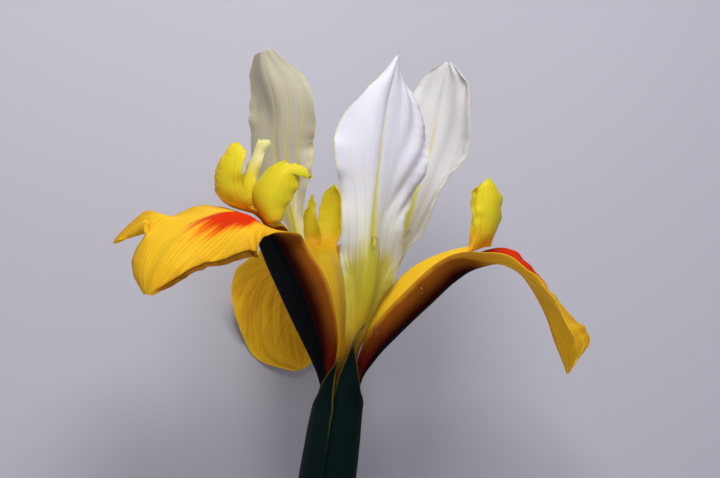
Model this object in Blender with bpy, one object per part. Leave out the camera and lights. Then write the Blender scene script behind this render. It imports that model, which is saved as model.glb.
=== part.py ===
"""Cut stem of a Dutch iris in full flower, laid on its back on a table.

Every piece is described in the flower's own frame, in millimetres: the origin is where the petals leave the
spathe, z runs up the flower's axis, and an azimuth of 0 is +x and of 90 is +y. Each petal follows a centre
line given as (distance from the axis, sideways drift, height), and its two sides are given along that line.
One empty then lays the whole flower down, resting on the cut end of the stem and on the blade of the fall
underneath.
"""

from math import cos, pi, radians, sin

import bmesh
import bpy
import numpy as np
from mathutils import Matrix

MM = 0.001

# How the flower lies
DOWN_AZIMUTH = 100.6
HEAD_RISE = 12.3

# Sheet thicknesses
BLADE_THICK = 0.6
KEEL_THICK = 1.3
CREST_THICK = 0.6
BRACT_THICK = 0.6

# Stem
STEM_LENGTH = 150.0
STEM_RADIUS = 3.3
STEM_SIDES = 15
STEM_ROWS = 28
STEM_LOBES = 0.03
OVARY_RADIUS = 3.7
TUBE_TOP = -6.8
TUBE_RADIUS = 4.0

# Centre line of the stem from its cut end to the seat of the petals
STEM_LINE = (
    (-12.0, 7.0, -STEM_LENGTH), (-11.2, 4.6, -126.0), (-9.0, 2.4, -96.0), (-6.6, 1.2, -66.0),
    (-4.4, 0.5, -42.0), (-2.3, 0.1, -22.0), (-0.8, 0.0, -12.0), (0.0, 0.0, TUBE_TOP),
)
STEM_WIDTHS = (
    (0.0, STEM_RADIUS), (0.4, STEM_RADIUS), (0.57, STEM_RADIUS), (0.6, 3.5), (0.64, 3.1),
    (0.72, OVARY_RADIUS - 0.2), (0.82, OVARY_RADIUS), (0.9, 3.2), (0.96, 3.3), (1.0, TUBE_RADIUS),
)

# The two bracts of the spathe overlap round the ovary. Each level is a height, a radius about the stem's
# centre line and the azimuths that the bract spans there.
BRACTS = {
    "spathe_outer": (
        (-64.0, 4.85, 60, 296), (-56.0, 5.35, 64, 288), (-44.0, 5.75, 70, 276), (-32.0, 6.15, 78, 266),
        (-22.0, 6.25, 86, 260), (-15.0, 6.05, 94, 258), (-10.0, 5.9, 116, 256), (-6.5, 5.7, 182, 256),
        (-4.0, 5.9, 216, 257), (-1.8, 6.4, 232, 260), (0.4, 6.9, 247, 263), (2.4, 7.4, 260, 267),
        (3.9, 7.7, 266, 269),
    ),
    "spathe_inner": (
        (-63.0, 3.95, 240, 470), (-56.0, 4.45, 246, 462), (-44.0, 4.85, 250, 452), (-32.0, 5.25, 252, 446),
        (-22.0, 5.35, 252, 440), (-15.0, 5.1, 250, 430), (-10.0, 4.75, 249, 412), (-6.5, 4.6, 250, 380),
        (-3.8, 5.1, 256, 331), (-1.2, 5.9, 264, 314), (1.5, 6.9, 272, 303), (4.0, 7.8, 280, 296),
        (6.5, 8.5, 286, 291.5), (8.8, 9.0, 292, 295.5), (10.9, 9.3, 303, 306),
    ),
}
BRACT_ROWS = 20
BRACT_COLUMNS = 10

# How finely the petals are cut
PETAL_ROWS = 26
PETAL_HALF_COLUMNS = 5
SAMPLES_A_COLUMN = 5

# A side of a petal turns up over this share of its width, just outside the flat keel
TURN_SHARE = 0.3

# The thickness of the claw ends at this share of the length
FALL_CLAW_END = 0.56
STANDARD_CLAW_END = 0.4

# Each station along a petal: share of the length, then width, rise and curl of the left and the right side,
# then twist of the whole section and the share of the width that stays flat beside the keel. Widths are in
# millimetres and angles in degrees. A wave is (height, count along the petal, phase, side or 0 for both, from
# share, to share). A tug bends one place of the petal: (share of the length, place across from -1 to 1, reach
# along, reach across, pull), where the pull is (outwards, sideways, up) in millimetres.
FALL_CLAW = (
    (0.00, 1.9, 1.9, 25, 25, 5, 5, 0, 0.2),
    (0.08, 2.8, 2.8, 45, 45, 5, 5, 0, 0.2),
)

PETALS = {
    "fall_right": {
        "azimuth": 357,
        "line": (
            (3.6, 0, -5.9), (4.4, 0, -0.6), (7.6, 0, 4.2), (11.8, 0, 8.6), (18.4, 0, 14.9), (24.0, 0, 19.9),
            (29.4, 0, 23.0), (33.0, 0, 23.7), (36.2, 0, 22.3), (40.2, 0, 17.9), (43.2, 0, 12.6),
            (45.2, 0, 6.6), (47.4, 0, 0.4),
        ),
        "stations": FALL_CLAW + (
            (0.13, 5.0, 4.7, 60, 58, 5, 5, 0, 0.22),
            (0.19, 7.3, 6.8, 66, 66, 5, 5, 0, 0.25),
            (0.33, 9.0, 9.0, 70, 70, 5, 5, 0, 0.28),
            (0.46, 8.9, 7.6, 68, 66, 0, 0, 0, 0.25),
            (0.51, 8.2, 6.8, 54, 52, 0, 0, 0, 0.18),
            (0.57, 5.8, 6.0, 32, 38, 0, 0, 0, 0.1),
            (0.64, 6.2, 7.6, 22, 32, 0, 0, 0, 0),
            (0.72, 7.6, 9.0, 23, 20, 0, 0, 0, 0),
            (0.82, 9.2, 11.0, 25, 22, 0, 3, 0, 0),
            (0.90, 8.8, 13.8, 32, 38, 0, 5, 0, 0),
            (0.96, 5.8, 11.6, 30, 38, 0, 5, 0, 0),
            (1.00, 1.0, 2.0, 30, 30, 0, 0, 0, 0),
        ),
        "waves": ((0.5, 4.2, 0.2, -1, 0.6, 1.0), (0.5, 3.4, 0.5, 1, 0.6, 1.0)),
    },
    "fall_left": {
        "azimuth": 220,
        "line": (
            (3.6, 0, -5.9), (5.0, 0, 0.2), (11.0, 0, 13.7), (18.3, 0, 26.3), (22.2, 0, 31.8), (25.4, 0, 33.9),
            (28.9, 0, 34.3), (32.7, 0, 33.4), (37.2, 0, 31.4), (42.4, 0, 28.0), (46.6, 0, 23.2),
            (49.0, 0, 17.6),
        ),
        "stations": FALL_CLAW + (
            (0.17, 6.6, 6.6, 66, 66, 5, 5, 0, 0.25),
            (0.32, 9.5, 9.5, 70, 70, 5, 5, 0, 0.28),
            (0.46, 8.6, 8.3, 68, 67, 0, 0, 0, 0.25),
            (0.55, 6.5, 8.0, 30, -16, 0, -34, 0, 0.1),
            (0.61, 8.0, 13.2, 6, -49, 0, -8, 0, 0),
            (0.68, 10.6, 12.0, 6, -62, 0, 0, 0, 0),
            (0.76, 13.2, 10.8, 18, -62, -32, 0, 0, 0),
            (0.84, 13.0, 9.2, 30, -56, -46, 0, 0, 0),
            (0.91, 9.3, 7.0, 28, -48, -50, 0, 0, 0),
            (0.97, 4.7, 3.8, 16, -40, -20, 0, 0, 0),
            (1.00, 1.4, 1.4, 0, -20, 0, 0, 0, 0),
        ),
        "waves": ((0.2, 4.6, 0.3, 1, 0.6, 1.0),),
        "tugs": (
            (0.77, -1.0, 0.03, 0.40, (1.2, -1.6, 3.2)),
            (0.81, -1.0, 0.026, 0.24, (4.4, -3.5, -3.4)),
            (0.86, -1.0, 0.03, 0.30, (-2.2, 2.2, 4.0)),
            (0.91, -1.0, 0.03, 0.30, (0.0, -0.2, 0.8)),
        ),
    },
    "fall_back": {
        "azimuth": 102,
        "line": (
            (3.6, 0, -5.9), (4.8, 0, 0.2), (8.4, 0, 4.6), (13.0, 0, 9.6), (19.0, 0, 16.0), (25.0, 0, 21.5),
            (30.0, 0.3, 24.0), (34.0, 0.9, 24.0), (37.6, 1.8, 21.5), (40.6, 2.6, 17.0), (42.6, 2.8, 11.0),
            (43.4, 2.2, 5.0), (43.2, 0.8, -1.2),
        ),
        "stations": FALL_CLAW + (
            (0.18, 6.6, 6.6, 66, 66, 5, 5, 0, 0.25),
            (0.33, 9.0, 9.0, 70, 70, 5, 5, 0, 0.28),
            (0.46, 7.4, 7.4, 60, 60, 0, 0, 0, 0.2),
            (0.56, 7.4, 7.4, 30, 30, 0, 0, 0, 0),
            (0.64, 10.0, 10.5, 14, 14, 0, 0, 0, 0),
            (0.75, 12.0, 13.8, 12, 12, 0, 0, 0, 0),
            (0.86, 12.0, 11.7, 12, 12, 0, 0, 0, 0),
            (0.95, 9.4, 7.8, 12, 12, 0, 0, 0, 0),
            (1.00, 1.4, 1.4, 0, 0, 0, 0, 0, 0),
        ),
        "waves": ((0.7, 4.2, 0.2, 0, 0.6, 1.0),),
    },
    "standard_front": {
        "azimuth": 298,
        "line": (
            (3.5, 0, -5.9), (4.8, 0, 2.0), (7.8, 0, 10.0), (10.6, 0.4, 18.0), (12.6, 0.6, 28.0),
            (13.4, 1.0, 37.0), (14.0, 1.8, 47.0), (14.4, 3.2, 56.0), (15.2, 5.6, 66.3),
        ),
        "stations": (
            (0.00, 0.8, 0.8, 15, 15, 0, 0, 0, 0),
            (0.13, 1.5, 1.5, 25, 25, 0, 0, 0, 0),
            (0.23, 2.6, 3.6, 25, 25, 0, 0, 0, 0),
            (0.34, 4.4, 6.9, 25, 25, 0, 0, 0, 0),
            (0.43, 6.0, 9.2, 20, 20, 0, 0, 0, 0),
            (0.53, 6.5, 8.6, 20, 20, 0, 0, 0, 0),
            (0.61, 6.9, 11.0, 18, 18, 0, 0, 0, 0),
            (0.69, 9.6, 12.4, 15, 12, 0, 0, 0, 0),
            (0.82, 8.0, 11.8, 15, 12, 0, 0, 0, 0),
            (0.90, 4.2, 8.2, 22, 22, 0, 0, 0, 0),
            (0.95, 1.8, 4.4, 30, 30, 0, 0, 0, 0),
            (1.00, 0.3, 0.3, 30, 30, 0, 0, 0, 0),
        ),
        "waves": ((0.7, 5.2, 0.1, 0, 0.35, 1.0),),
    },
    "standard_right": {
        "azimuth": 50,
        "line": (
            (3.5, 0, -5.9), (4.6, 0, 2.0), (7.4, -0.2, 10.0), (11.4, -1.6, 18.0), (16.0, -3.2, 28.0),
            (19.4, -4.6, 37.0), (23.2, -5.8, 47.0), (26.0, -6.8, 57.0), (27.5, -7.6, 66.8),
        ),
        "stations": (
            (0.00, 0.8, 0.8, 15, 15, 0, 0, 0, 0),
            (0.13, 1.1, 1.1, 25, 25, 0, 0, 0, 0),
            (0.28, 3.3, 2.6, 25, 25, 0, 0, 0, 0),
            (0.43, 4.8, 6.0, 20, 20, 0, 0, 0, 0),
            (0.60, 9.2, 9.0, 15, 15, 0, 0, 0, 0),
            (0.78, 12.8, 10.5, 15, 12, 0, 0, 0, 0),
            (0.89, 10.2, 8.0, 20, 20, 0, 0, 0, 0),
            (0.96, 6.6, 5.6, 20, 20, 0, 0, 0, 0),
            (1.00, 1.2, 1.2, 30, 30, 0, 0, 0, 0),
        ),
        "waves": ((0.7, 4.6, 0.4, 0, 0.35, 1.0),),
    },
    "standard_left": {
        "azimuth": 161,
        "line": (
            (3.5, 0, -5.9), (4.0, 0, 3.0), (5.2, 0, 11.0), (7.2, 0, 19.0), (9.6, 0, 29.0), (11.2, 0, 35.5),
            (13.8, 0, 43.0), (14.6, 0, 48.0), (14.2, 0, 56.0), (15.0, 0, 60.0), (16.6, 0, 65.0),
            (17.4, 0, 68.4),
        ),
        "stations": (
            (0.00, 0.8, 0.8, 15, 15, 0, 0, 0, 0),
            (0.13, 1.5, 1.5, 25, 25, 0, 0, 0, 0),
            (0.28, 2.2, 2.2, 25, 25, 0, 0, 20, 0),
            (0.45, 2.8, 1.5, 20, 20, 0, 0, 60, 0),
            (0.53, 4.0, 2.2, 15, 15, 0, 0, 70, 0),
            (0.61, 9.0, 7.2, 15, 12, 0, 0, 70, 0),
            (0.74, 9.4, 9.0, 15, 12, 0, 0, 70, 0),
            (0.81, 9.2, 9.7, 15, 12, 0, 0, 70, 0),
            (0.89, 9.0, 7.6, 15, 12, 0, 0, 70, 0),
            (0.95, 7.6, 4.8, 20, 20, 0, 0, 70, 0),
            (1.00, 4.0, 2.4, 20, 20, 0, 0, 70, 0),
        ),
        "waves": ((0.7, 5.0, 0.7, 0, 0.4, 1.0),),
    },
}

# Outlines of the crests: each share of the height with its share of the full width
FULL = ((0.0, 0.70), (0.2, 0.98), (0.5, 1.0), (0.8, 0.82), (0.93, 0.58), (1.0, 0.10))
BROAD = ((0.0, 0.64), (0.2, 0.82), (0.5, 1.0), (0.8, 0.84), (0.93, 0.55), (1.0, 0.08))
OVATE = ((0.0, 0.30), (0.15, 0.34), (0.35, 0.66), (0.6, 1.0), (0.8, 0.86), (0.93, 0.50), (1.0, 0.08))
TAPERED = ((0.0, 0.80), (0.25, 0.84), (0.5, 0.62), (0.8, 0.28), (1.0, 0.04))
FANNED = ((0.0, 0.70), (0.3, 1.12), (0.6, 0.62), (0.85, 0.62), (0.95, 0.72), (1.0, 0.50))

# Each style arm arches over the claw of the fall below it and ends in upright crests. A crest grows from
# some of the columns of the arm's last row. Its line starts at the end of the arm and is (outwards, sideways,
# up), and its face looks outwards, turned sideways by an angle.
STYLES = {
    "style_right": {
        "azimuth": 357,
        "slant": 5.0,
        "line": (
            (1.3, 0, -6.0), (2.0, 0, 0.0), (3.2, 0, 6.0), (5.2, 0, 11.2), (8.2, 0, 15.6), (12.2, 0, 19.9),
            (16.4, 0, 23.2), (21.0, 0, 25.5), (25.6, 0, 26.8), (29.2, 0, 27.2),
        ),
        "tugs": ((0.88, -1.0, 0.14, 0.6, (0.0, -0.2, -0.9)),),
        "crests": (
            {"columns": (0.0, 0.5), "facing": -50, "width": 7.0, "roll": 30, "outline": BROAD,
             "line": ((1.2, -2.0, 1.6), (2.2, -2.4, 5.0), (2.5, -2.6, 9.6), (1.9, -2.4, 13.8))},
            {"columns": (0.5, 1.0), "facing": 52, "width": 7.4, "roll": 30, "outline": BROAD,
             "line": ((0.6, 2.0, 1.6), (1.6, 2.4, 5.0), (1.6, 2.6, 9.2), (0.6, 2.4, 12.8))},
        ),
    },
    "style_left": {
        "azimuth": 220,
        "slant": 3.6,
        "line": (
            (1.3, 0, -6.0), (1.9, 0, 0.0), (2.8, 0, 8.0), (4.6, 0, 15.0), (7.8, 0, 21.4), (11.6, 0, 26.8),
            (15.4, 0, 30.8), (18.6, 0, 33.4), (21.4, 0, 34.6),
        ),
        "tugs": ((1.0, 1.0, 0.07, 0.4, (1.4, -0.2, -2.4)),),
        "crests": (
            {"columns": (0.0, 0.25), "facing": 8, "width": 8.0, "roll": 34, "outline": FULL,
             "line": ((2.2, -3.7, 0.8), (4.9, -4.9, 3.4), (5.1, -4.9, 8.4), (2.8, -3.8, 13.6))},
            {"columns": (0.25, 0.5), "facing": 20, "width": 4.6, "roll": 30, "outline": FANNED,
             "line": ((1.4, -2.0, 0.6), (1.8, -2.7, 3.8), (0.3, -1.9, 8.8), (-1.6, -0.9, 14.2))},
            {"columns": (0.5, 1.0), "facing": 36, "width": 9.2, "roll": 40, "outline": OVATE,
             "line": ((0.2, 4.5, -2.4), (0.8, 4.4, 0.6), (-0.3, 5.0, 5.2), (-2.4, 6.2, 9.4)),
             "tugs": ((0.95, 1.0, 0.07, 0.6, (-2.4, 1.9, -2.4)), (1.0, 0.5, 0.06, 0.4, (-2.2, 1.8, -0.4)))},
        ),
    },
    "style_back": {
        "azimuth": 102,
        "slant": 2.4,
        "line": (
            (1.3, 0, -6.0), (2.0, 0, 0.0), (3.2, 0, 6.0), (5.4, 0, 12.0), (9.0, 0, 17.4), (13.2, 0, 21.8),
            (18.0, 0, 25.2), (23.0, 0, 27.2),
        ),
        "crests": (
            {"columns": (0.0, 0.5), "facing": -28, "width": 5.6, "roll": 30, "outline": BROAD,
             "line": ((1.4, -2.6, 1.2), (2.4, -3.2, 4.5), (2.4, -3.6, 9.0), (1.4, -3.8, 13.0))},
            {"columns": (0.5, 1.0), "facing": 18, "width": 6.6, "roll": 30, "outline": TAPERED,
             "line": ((0.8, 2.2, 1.0), (0.8, 2.2, 3.6), (0.6, 2.0, 7.0), (0.2, 1.6, 10.8))},
        ),
    },
}
# Share of the arm, half width, fall of its edges and the share that stays flat
ARM_STATIONS = (
    (0.00, 1.0, 10, 0.0),
    (0.20, 1.8, 25, 0.0),
    (0.40, 4.2, 46, 0.1),
    (0.60, 5.5, 50, 0.12),
    (0.76, 4.8, 44, 0.12),
    (0.90, 4.0, 30, 0.1),
    (1.00, 3.8, 18, 0.1),
)
ARM_ROWS = 12
ARM_HALF_COLUMNS = 4
CREST_ROWS = 10

# A stamen lies between each claw and the style arm over it
STAMEN_SHARE = 0.52
STAMEN_LENGTH_SHARE = 0.84
FILAMENT_RADIUS = 0.5
ANTHER_RADIUS = 0.85
STAMEN_WIDTHS = (
    (0.0, FILAMENT_RADIUS, FILAMENT_RADIUS), (0.45, FILAMENT_RADIUS, FILAMENT_RADIUS),
    (0.55, 1.3 * ANTHER_RADIUS, 0.7 * ANTHER_RADIUS), (0.9, 1.3 * ANTHER_RADIUS, 0.7 * ANTHER_RADIUS),
    (1.0, 0.35, 0.3),
)
STAMEN_ROWS = 14
STAMEN_SIDES = 8


def smooth(knots, values, at):
    """Values between the knots, on a smooth curve through all of them."""
    knots = np.asarray(knots, float)
    values = np.asarray(values, float).reshape(len(knots), -1)
    slope = np.gradient(values, knots, axis=0)
    at = np.asarray(at, float)
    low = np.clip(np.searchsorted(knots, at, side="right") - 1, 0, len(knots) - 2)
    gap = (knots[low + 1] - knots[low])[:, None]
    t = (at - knots[low])[:, None] / gap
    from_low = (1 + 2 * t) * (1 - t) ** 2 * values[low] + t * (1 - t) ** 2 * gap * slope[low]
    from_high = t * t * (3 - 2 * t) * values[low + 1] + t * t * (t - 1) * gap * slope[low + 1]
    return from_low + from_high


def line_at(points, shares):
    """Positions, directions and length of the smooth line through the points, at shares of its length."""
    points = np.asarray(points, float)
    chord = np.r_[0, np.cumsum(np.linalg.norm(np.diff(points, axis=0), axis=1))]
    fine = np.linspace(0, chord[-1], 400)
    dense = smooth(chord, points, fine)
    length = np.r_[0, np.cumsum(np.linalg.norm(np.diff(dense, axis=0), axis=1))]
    at = np.interp(shares, length / length[-1], fine)
    step = 0.001 * chord[-1]
    ahead = smooth(chord, points, np.minimum(at + step, chord[-1]))
    behind = smooth(chord, points, np.maximum(at - step, 0))
    direction = ahead - behind
    direction /= np.linalg.norm(direction, axis=1)[:, None]
    return smooth(chord, points, at), direction, length[-1]


def turned(vectors, axes, angles):
    """Each vector turned about its own unit axis."""
    c = np.cos(angles)[:, None]
    s = np.sin(angles)[:, None]
    along = (vectors * axes).sum(axis=1)[:, None]
    return vectors * c + np.cross(axes, vectors) * s + axes * along * (1 - c)


def about_axis(grid, azimuth):
    """A grid drawn along +x, turned about the flower's axis."""
    a = radians(azimuth)
    turn = np.array([[cos(a), -sin(a), 0], [sin(a), cos(a), 0], [0, 0, 1]])
    return grid @ turn.T


def row_shares(rows):
    """Rows a little closer together at both ends of a petal."""
    even = np.linspace(0, 1, rows + 1)
    return 0.35 * (0.5 - 0.5 * np.cos(pi * even)) + 0.65 * even


def tugged(grid, shares, tugs):
    """The grid with parts of it pulled away, each by a soft bump about its place."""
    place = np.linspace(-1, 1, grid.shape[1])
    for share, across, reach, spread, pull in tugs:
        along = np.exp(-(((shares - share) / reach) ** 2))
        aside = np.exp(-(((place - across) / spread) ** 2))
        grid = grid + np.outer(along, aside)[..., None] * np.asarray(pull, float)
    return grid


def petal_grid(petal, rows, half_columns):
    """Points of a petal's middle surface, one row for each step along it and one column across it."""
    shares = row_shares(rows)
    centre, ahead, _ = line_at(petal["line"], shares)
    stations = np.asarray(petal["stations"], float)
    width_l, width_r, rise_l, rise_r, curl_l, curl_r, twist, flat = smooth(
        stations[:, 0], stations[:, 1:], shares
    ).T
    side = np.tile([0.0, 1.0, 0.0], (len(shares), 1))
    side -= ahead * (side * ahead).sum(axis=1)[:, None]
    side /= np.linalg.norm(side, axis=1)[:, None]
    side = turned(side, ahead, np.radians(twist))
    up = np.cross(ahead, side)
    samples = SAMPLES_A_COLUMN * half_columns
    across = np.linspace(0, 1, samples + 1)
    flat = np.clip(flat, 0, 0.6)[:, None]
    bend = np.clip((across - flat) / TURN_SHARE, 0, 1)
    bend = bend * bend * (3 - 2 * bend)
    halves = []
    for sign, width, rise, curl in ((-1, width_l, rise_l, curl_l), (1, width_r, rise_r, curl_r)):
        angle = np.radians(rise)[:, None] * bend + np.radians(curl)[:, None] * across ** 1.5
        middle = (angle[:, 1:] + angle[:, :-1]) / 2
        step = np.maximum(width, 0.05)[:, None] / samples
        out = np.c_[np.zeros(len(shares)), np.cumsum(np.cos(middle) * step, axis=1)]
        high = np.c_[np.zeros(len(shares)), np.cumsum(np.sin(middle) * step, axis=1)]
        out = out[:, ::SAMPLES_A_COLUMN]
        high = high[:, ::SAMPLES_A_COLUMN]
        edge = across[::SAMPLES_A_COLUMN] ** 2.5
        for height, count, phase, only_side, start, end in petal["waves"]:
            if only_side in (0, sign):
                grow = np.clip((shares - start) / 0.1, 0, 1) * np.clip((end - shares) / 0.08, 0, 1)
                wave = height * grow * np.sin(2 * pi * (count * shares + phase))
                high = high + wave[:, None] * edge[None, :]
        halves.append(centre[:, None] + sign * side[:, None] * out[..., None] + up[:, None] * high[..., None])
    grid = np.concatenate([halves[0][:, :0:-1], halves[1]], axis=1)
    return about_axis(tugged(grid, shares, petal.get("tugs", ())), petal["azimuth"])


def arm_grid(style, rows, half_columns):
    """Points of a style arm's middle surface, arched over its claw."""
    stations = [(s, w, w, -fall, -fall, 0, 0, 0, flat) for s, w, fall, flat in ARM_STATIONS]
    tugs = style.get("tugs", ())
    arm = {"azimuth": 0, "line": style["line"], "stations": stations, "waves": (), "tugs": tugs}
    grid = petal_grid(arm, rows, half_columns)
    reach = np.clip(row_shares(rows) / 0.3 - 2.33, 0, 1) ** 1.5
    middle = 0.5 - np.abs(np.linspace(-1, 1, 2 * half_columns + 1))
    grid[..., 0] += style["slant"] * np.outer(reach, middle)
    return about_axis(grid, style["azimuth"])


def crest_grid(style, crest, rows, half_columns):
    """Points of one crest, growing from its share of the arm's last row."""
    height = np.linspace(0, 1, rows + 1)
    height = 0.5 * height + 0.5 * (0.5 - 0.5 * np.cos(pi * height))
    start = (0.0, 0.6 * crest["line"][0][1], 0.0)
    spine, _, _ = line_at((start,) + crest["line"], height)
    centre = np.asarray(style["line"][-1], float) + spine
    outline = np.array(crest["outline"])
    half = crest["width"] * smooth(outline[:, 0], outline[:, 1:], height)[:, 0] / 2
    ease = 0.3 + 0.7 * np.clip(height / 0.2, 0, 1)
    angle = np.full(rows + 1, radians(crest["facing"]))
    wide = np.stack([-np.sin(angle), np.cos(angle), np.zeros_like(angle)], axis=-1)
    face = np.stack([np.cos(angle), np.sin(angle), np.zeros_like(angle)], axis=-1)
    low, high = [round(2 * half_columns * share) for share in crest["columns"]]
    across = np.linspace(-1, 1, high - low + 1)
    bow = half * radians(crest["roll"]) * ease
    grid = (
        centre[:, None]
        + wide[:, None] * (half[:, None] * across)[..., None]
        - face[:, None] * (bow[:, None] * (across ** 2 - 0.4))[..., None]
    )
    grid = about_axis(tugged(grid, height, crest.get("tugs", ())), style["azimuth"])
    root = arm_grid(style, ARM_ROWS, half_columns)[-1][low : high + 1]
    blend = (1 - np.clip(height / 0.2, 0, 1)) ** 2
    return grid + (root - grid[0])[None] * blend[:, None, None]


def stem_centre(heights):
    """Where the stem's centre line passes each height, straight up above its top."""
    points = np.asarray(STEM_LINE, float)
    below = smooth(points[:, 2], points[:, :2], np.minimum(heights, TUBE_TOP))
    return np.c_[below, heights]


def bract_grid(levels, rows, columns):
    """Points of a bract's middle surface, wrapped round the stem."""
    levels = np.asarray(levels, float)
    shares = np.linspace(0, 1, rows + 1)
    shares = 0.4 * shares + 0.6 * (1 - (1 - shares) ** 1.8)
    heights = levels[0, 0] + (levels[-1, 0] - levels[0, 0]) * shares
    radius, start, end = smooth(levels[:, 0], levels[:, 1:], heights).T
    centre = stem_centre(heights)
    across = np.linspace(0, 1, columns + 1)
    azimuth = np.radians(start[:, None] + (end - start)[:, None] * across)
    ring = np.stack([np.cos(azimuth), np.sin(azimuth), np.zeros_like(azimuth)], axis=-1)
    return centre[:, None] + radius[:, None, None] * ring


def tube_rings(points, widths, rows, sides, lobes=0.0):
    """Rings about a smooth line. A width is (share, radius) or (share, radius across, radius up)."""
    shares = np.linspace(0, 1, rows + 1)
    centre, ahead, _ = line_at(points, shares)
    widths = np.asarray(widths, float)
    radii = smooth(widths[:, 0], widths[:, 1:], shares)
    side = np.tile([0.0, 1.0, 0.0], (rows + 1, 1))
    side -= ahead * (side * ahead).sum(axis=1)[:, None]
    side /= np.linalg.norm(side, axis=1)[:, None]
    up = np.cross(ahead, side)
    turn = 2 * pi * np.arange(sides) / sides
    out = radii[:, :1] * (1 + lobes * np.cos(3 * turn))
    high = radii[:, -1:] * (1 + lobes * np.cos(3 * turn))
    cosine = (np.cos(turn) * out)[..., None]
    sine = (np.sin(turn) * high)[..., None]
    return centre[:, None] + side[:, None] * cosine + up[:, None] * sine


def stamen_path(fall, style):
    """A line midway between the claw of a fall and the style arm above it."""
    shares = np.linspace(0, STAMEN_LENGTH_SHARE, 9)
    claw, _, _ = line_at(fall["line"], 0.5 * shares)
    arm, _, _ = line_at(style["line"], shares)
    return claw * (1 - STAMEN_SHARE) + arm * STAMEN_SHARE


# Objects


def material(name, colour, roughness):
    made = bpy.data.materials.new(name)
    made.use_nodes = True
    shader = made.node_tree.nodes["Principled BSDF"]
    shader.inputs["Base Color"].default_value = (*colour, 1)
    shader.inputs["Roughness"].default_value = roughness
    return made


def place(name, mesh, surface, parent):
    mesh.materials.append(surface)
    mesh.shade_smooth()
    made = bpy.data.objects.new(name, mesh)
    bpy.context.scene.collection.objects.link(made)
    made.parent = parent
    return made


def sheet_mesh(name, grids, pointed):
    """Triangles between the rows of each grid. Points that two grids share become one, and a pointed grid's
    last row closes to a single point."""
    shape = bmesh.new()
    for grid, closes in zip(grids, pointed):
        rows, columns = grid.shape[:2]
        tip = grid[-1].mean(axis=0)
        made = [[shape.verts.new(MM * point) for point in row] for row in grid[: rows - closes]]
        for low, high in zip(made, made[1:]):
            for column in range(columns - 1):
                a, b = low[column], low[column + 1]
                c, d = high[column + 1], high[column]
                if column < (columns - 1) / 2:
                    shape.faces.new((a, b, c))
                    shape.faces.new((a, c, d))
                else:
                    shape.faces.new((a, b, d))
                    shape.faces.new((b, c, d))
        if closes:
            end = shape.verts.new(MM * tip)
            for a, b in zip(made[-1], made[-1][1:]):
                shape.faces.new((a, b, end))
    bmesh.ops.remove_doubles(shape, verts=shape.verts, dist=0.00001)
    bmesh.ops.recalc_face_normals(shape, faces=shape.faces)
    mesh = bpy.data.meshes.new(name)
    shape.to_mesh(mesh)
    shape.free()
    return mesh


def solidify(made, thick, weights=None):
    """A sheet thickened to both sides, by a share of the thickness at each point where weights are given."""
    modifier = made.modifiers.new("Solidify", "SOLIDIFY")
    modifier.thickness = thick * MM
    modifier.offset = 0
    modifier.use_quality_normals = True
    if weights is None:
        return
    group = made.vertex_groups.new(name="thickness")
    for index, weight in enumerate(weights):
        group.add([index], float(weight), "REPLACE")
    modifier.vertex_group = group.name


def petal_weights(grid, claw_end):
    """Full thickness along the keel of the claw, thinning to the blade's thickness."""
    rows, columns = grid.shape[:2]
    thin = BLADE_THICK / KEEL_THICK
    shares = row_shares(rows - 1)
    keel = 1 - np.abs(np.linspace(-1, 1, columns))
    claw = np.clip((claw_end - shares) / 0.15, 0, 1)
    foot = np.clip(shares / 0.12, 0, 1)
    weights = thin + (1 - thin) * np.outer(claw * foot, keel)
    return np.r_[weights[:-1].ravel(), weights[-1].mean()]


def tube_object(name, rings, surface, parent):
    """A closed tube through the rings, with flat ends."""
    shape = bmesh.new()
    made = [[shape.verts.new(MM * point) for point in ring] for ring in rings]
    sides = len(made[0])
    for low, high in zip(made, made[1:]):
        for i in range(sides):
            j = (i + 1) % sides
            shape.faces.new((low[i], low[j], high[j], high[i]))
    shape.faces.new(made[0][::-1])
    shape.faces.new(made[-1])
    bmesh.ops.recalc_face_normals(shape, faces=shape.faces)
    bmesh.ops.triangulate(shape, faces=shape.faces)
    mesh = bpy.data.meshes.new(name)
    shape.to_mesh(mesh)
    shape.free()
    made = place(name, mesh, surface, parent)
    made.data.set_sharp_from_angle(angle=radians(50))
    return made


def lay_down(root):
    """Turns the flower on its back and sets it on the ground, centred."""
    rise = radians(HEAD_RISE)
    out = np.array([cos(radians(DOWN_AZIMUTH)), sin(radians(DOWN_AZIMUTH)), 0.0])
    axis = np.array([0.0, 0.0, 1.0])
    down = cos(rise) * out - sin(rise) * axis
    along = sin(rise) * out + cos(rise) * axis
    turn = np.array([np.cross(along, -down), along, -down])
    root.matrix_world = Matrix(turn).to_4x4()
    bpy.context.view_layer.update()
    graph = bpy.context.evaluated_depsgraph_get()
    corners = []
    for made in root.children:
        evaluated = made.evaluated_get(graph)
        corners += [evaluated.matrix_world @ vertex.co for vertex in evaluated.data.vertices]
    corners = np.array(corners)
    low = corners.min(axis=0)
    high = corners.max(axis=0)
    root.location = (-(low[0] + high[0]) / 2, -(low[1] + high[1]) / 2, -low[2])
    bpy.context.view_layer.update()


def make_petals(root):
    gold = material("fall_yellow", (0.87, 0.50, 0.04), 0.45)
    white = material("standard_white", (0.86, 0.86, 0.92), 0.5)
    for name, petal in PETALS.items():
        grid = petal_grid(petal, PETAL_ROWS, PETAL_HALF_COLUMNS)
        is_fall = name.startswith("fall")
        made = place(name, sheet_mesh(name, [grid], [True]), gold if is_fall else white, root)
        solidify(made, KEEL_THICK, petal_weights(grid, FALL_CLAW_END if is_fall else STANDARD_CLAW_END))


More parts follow.
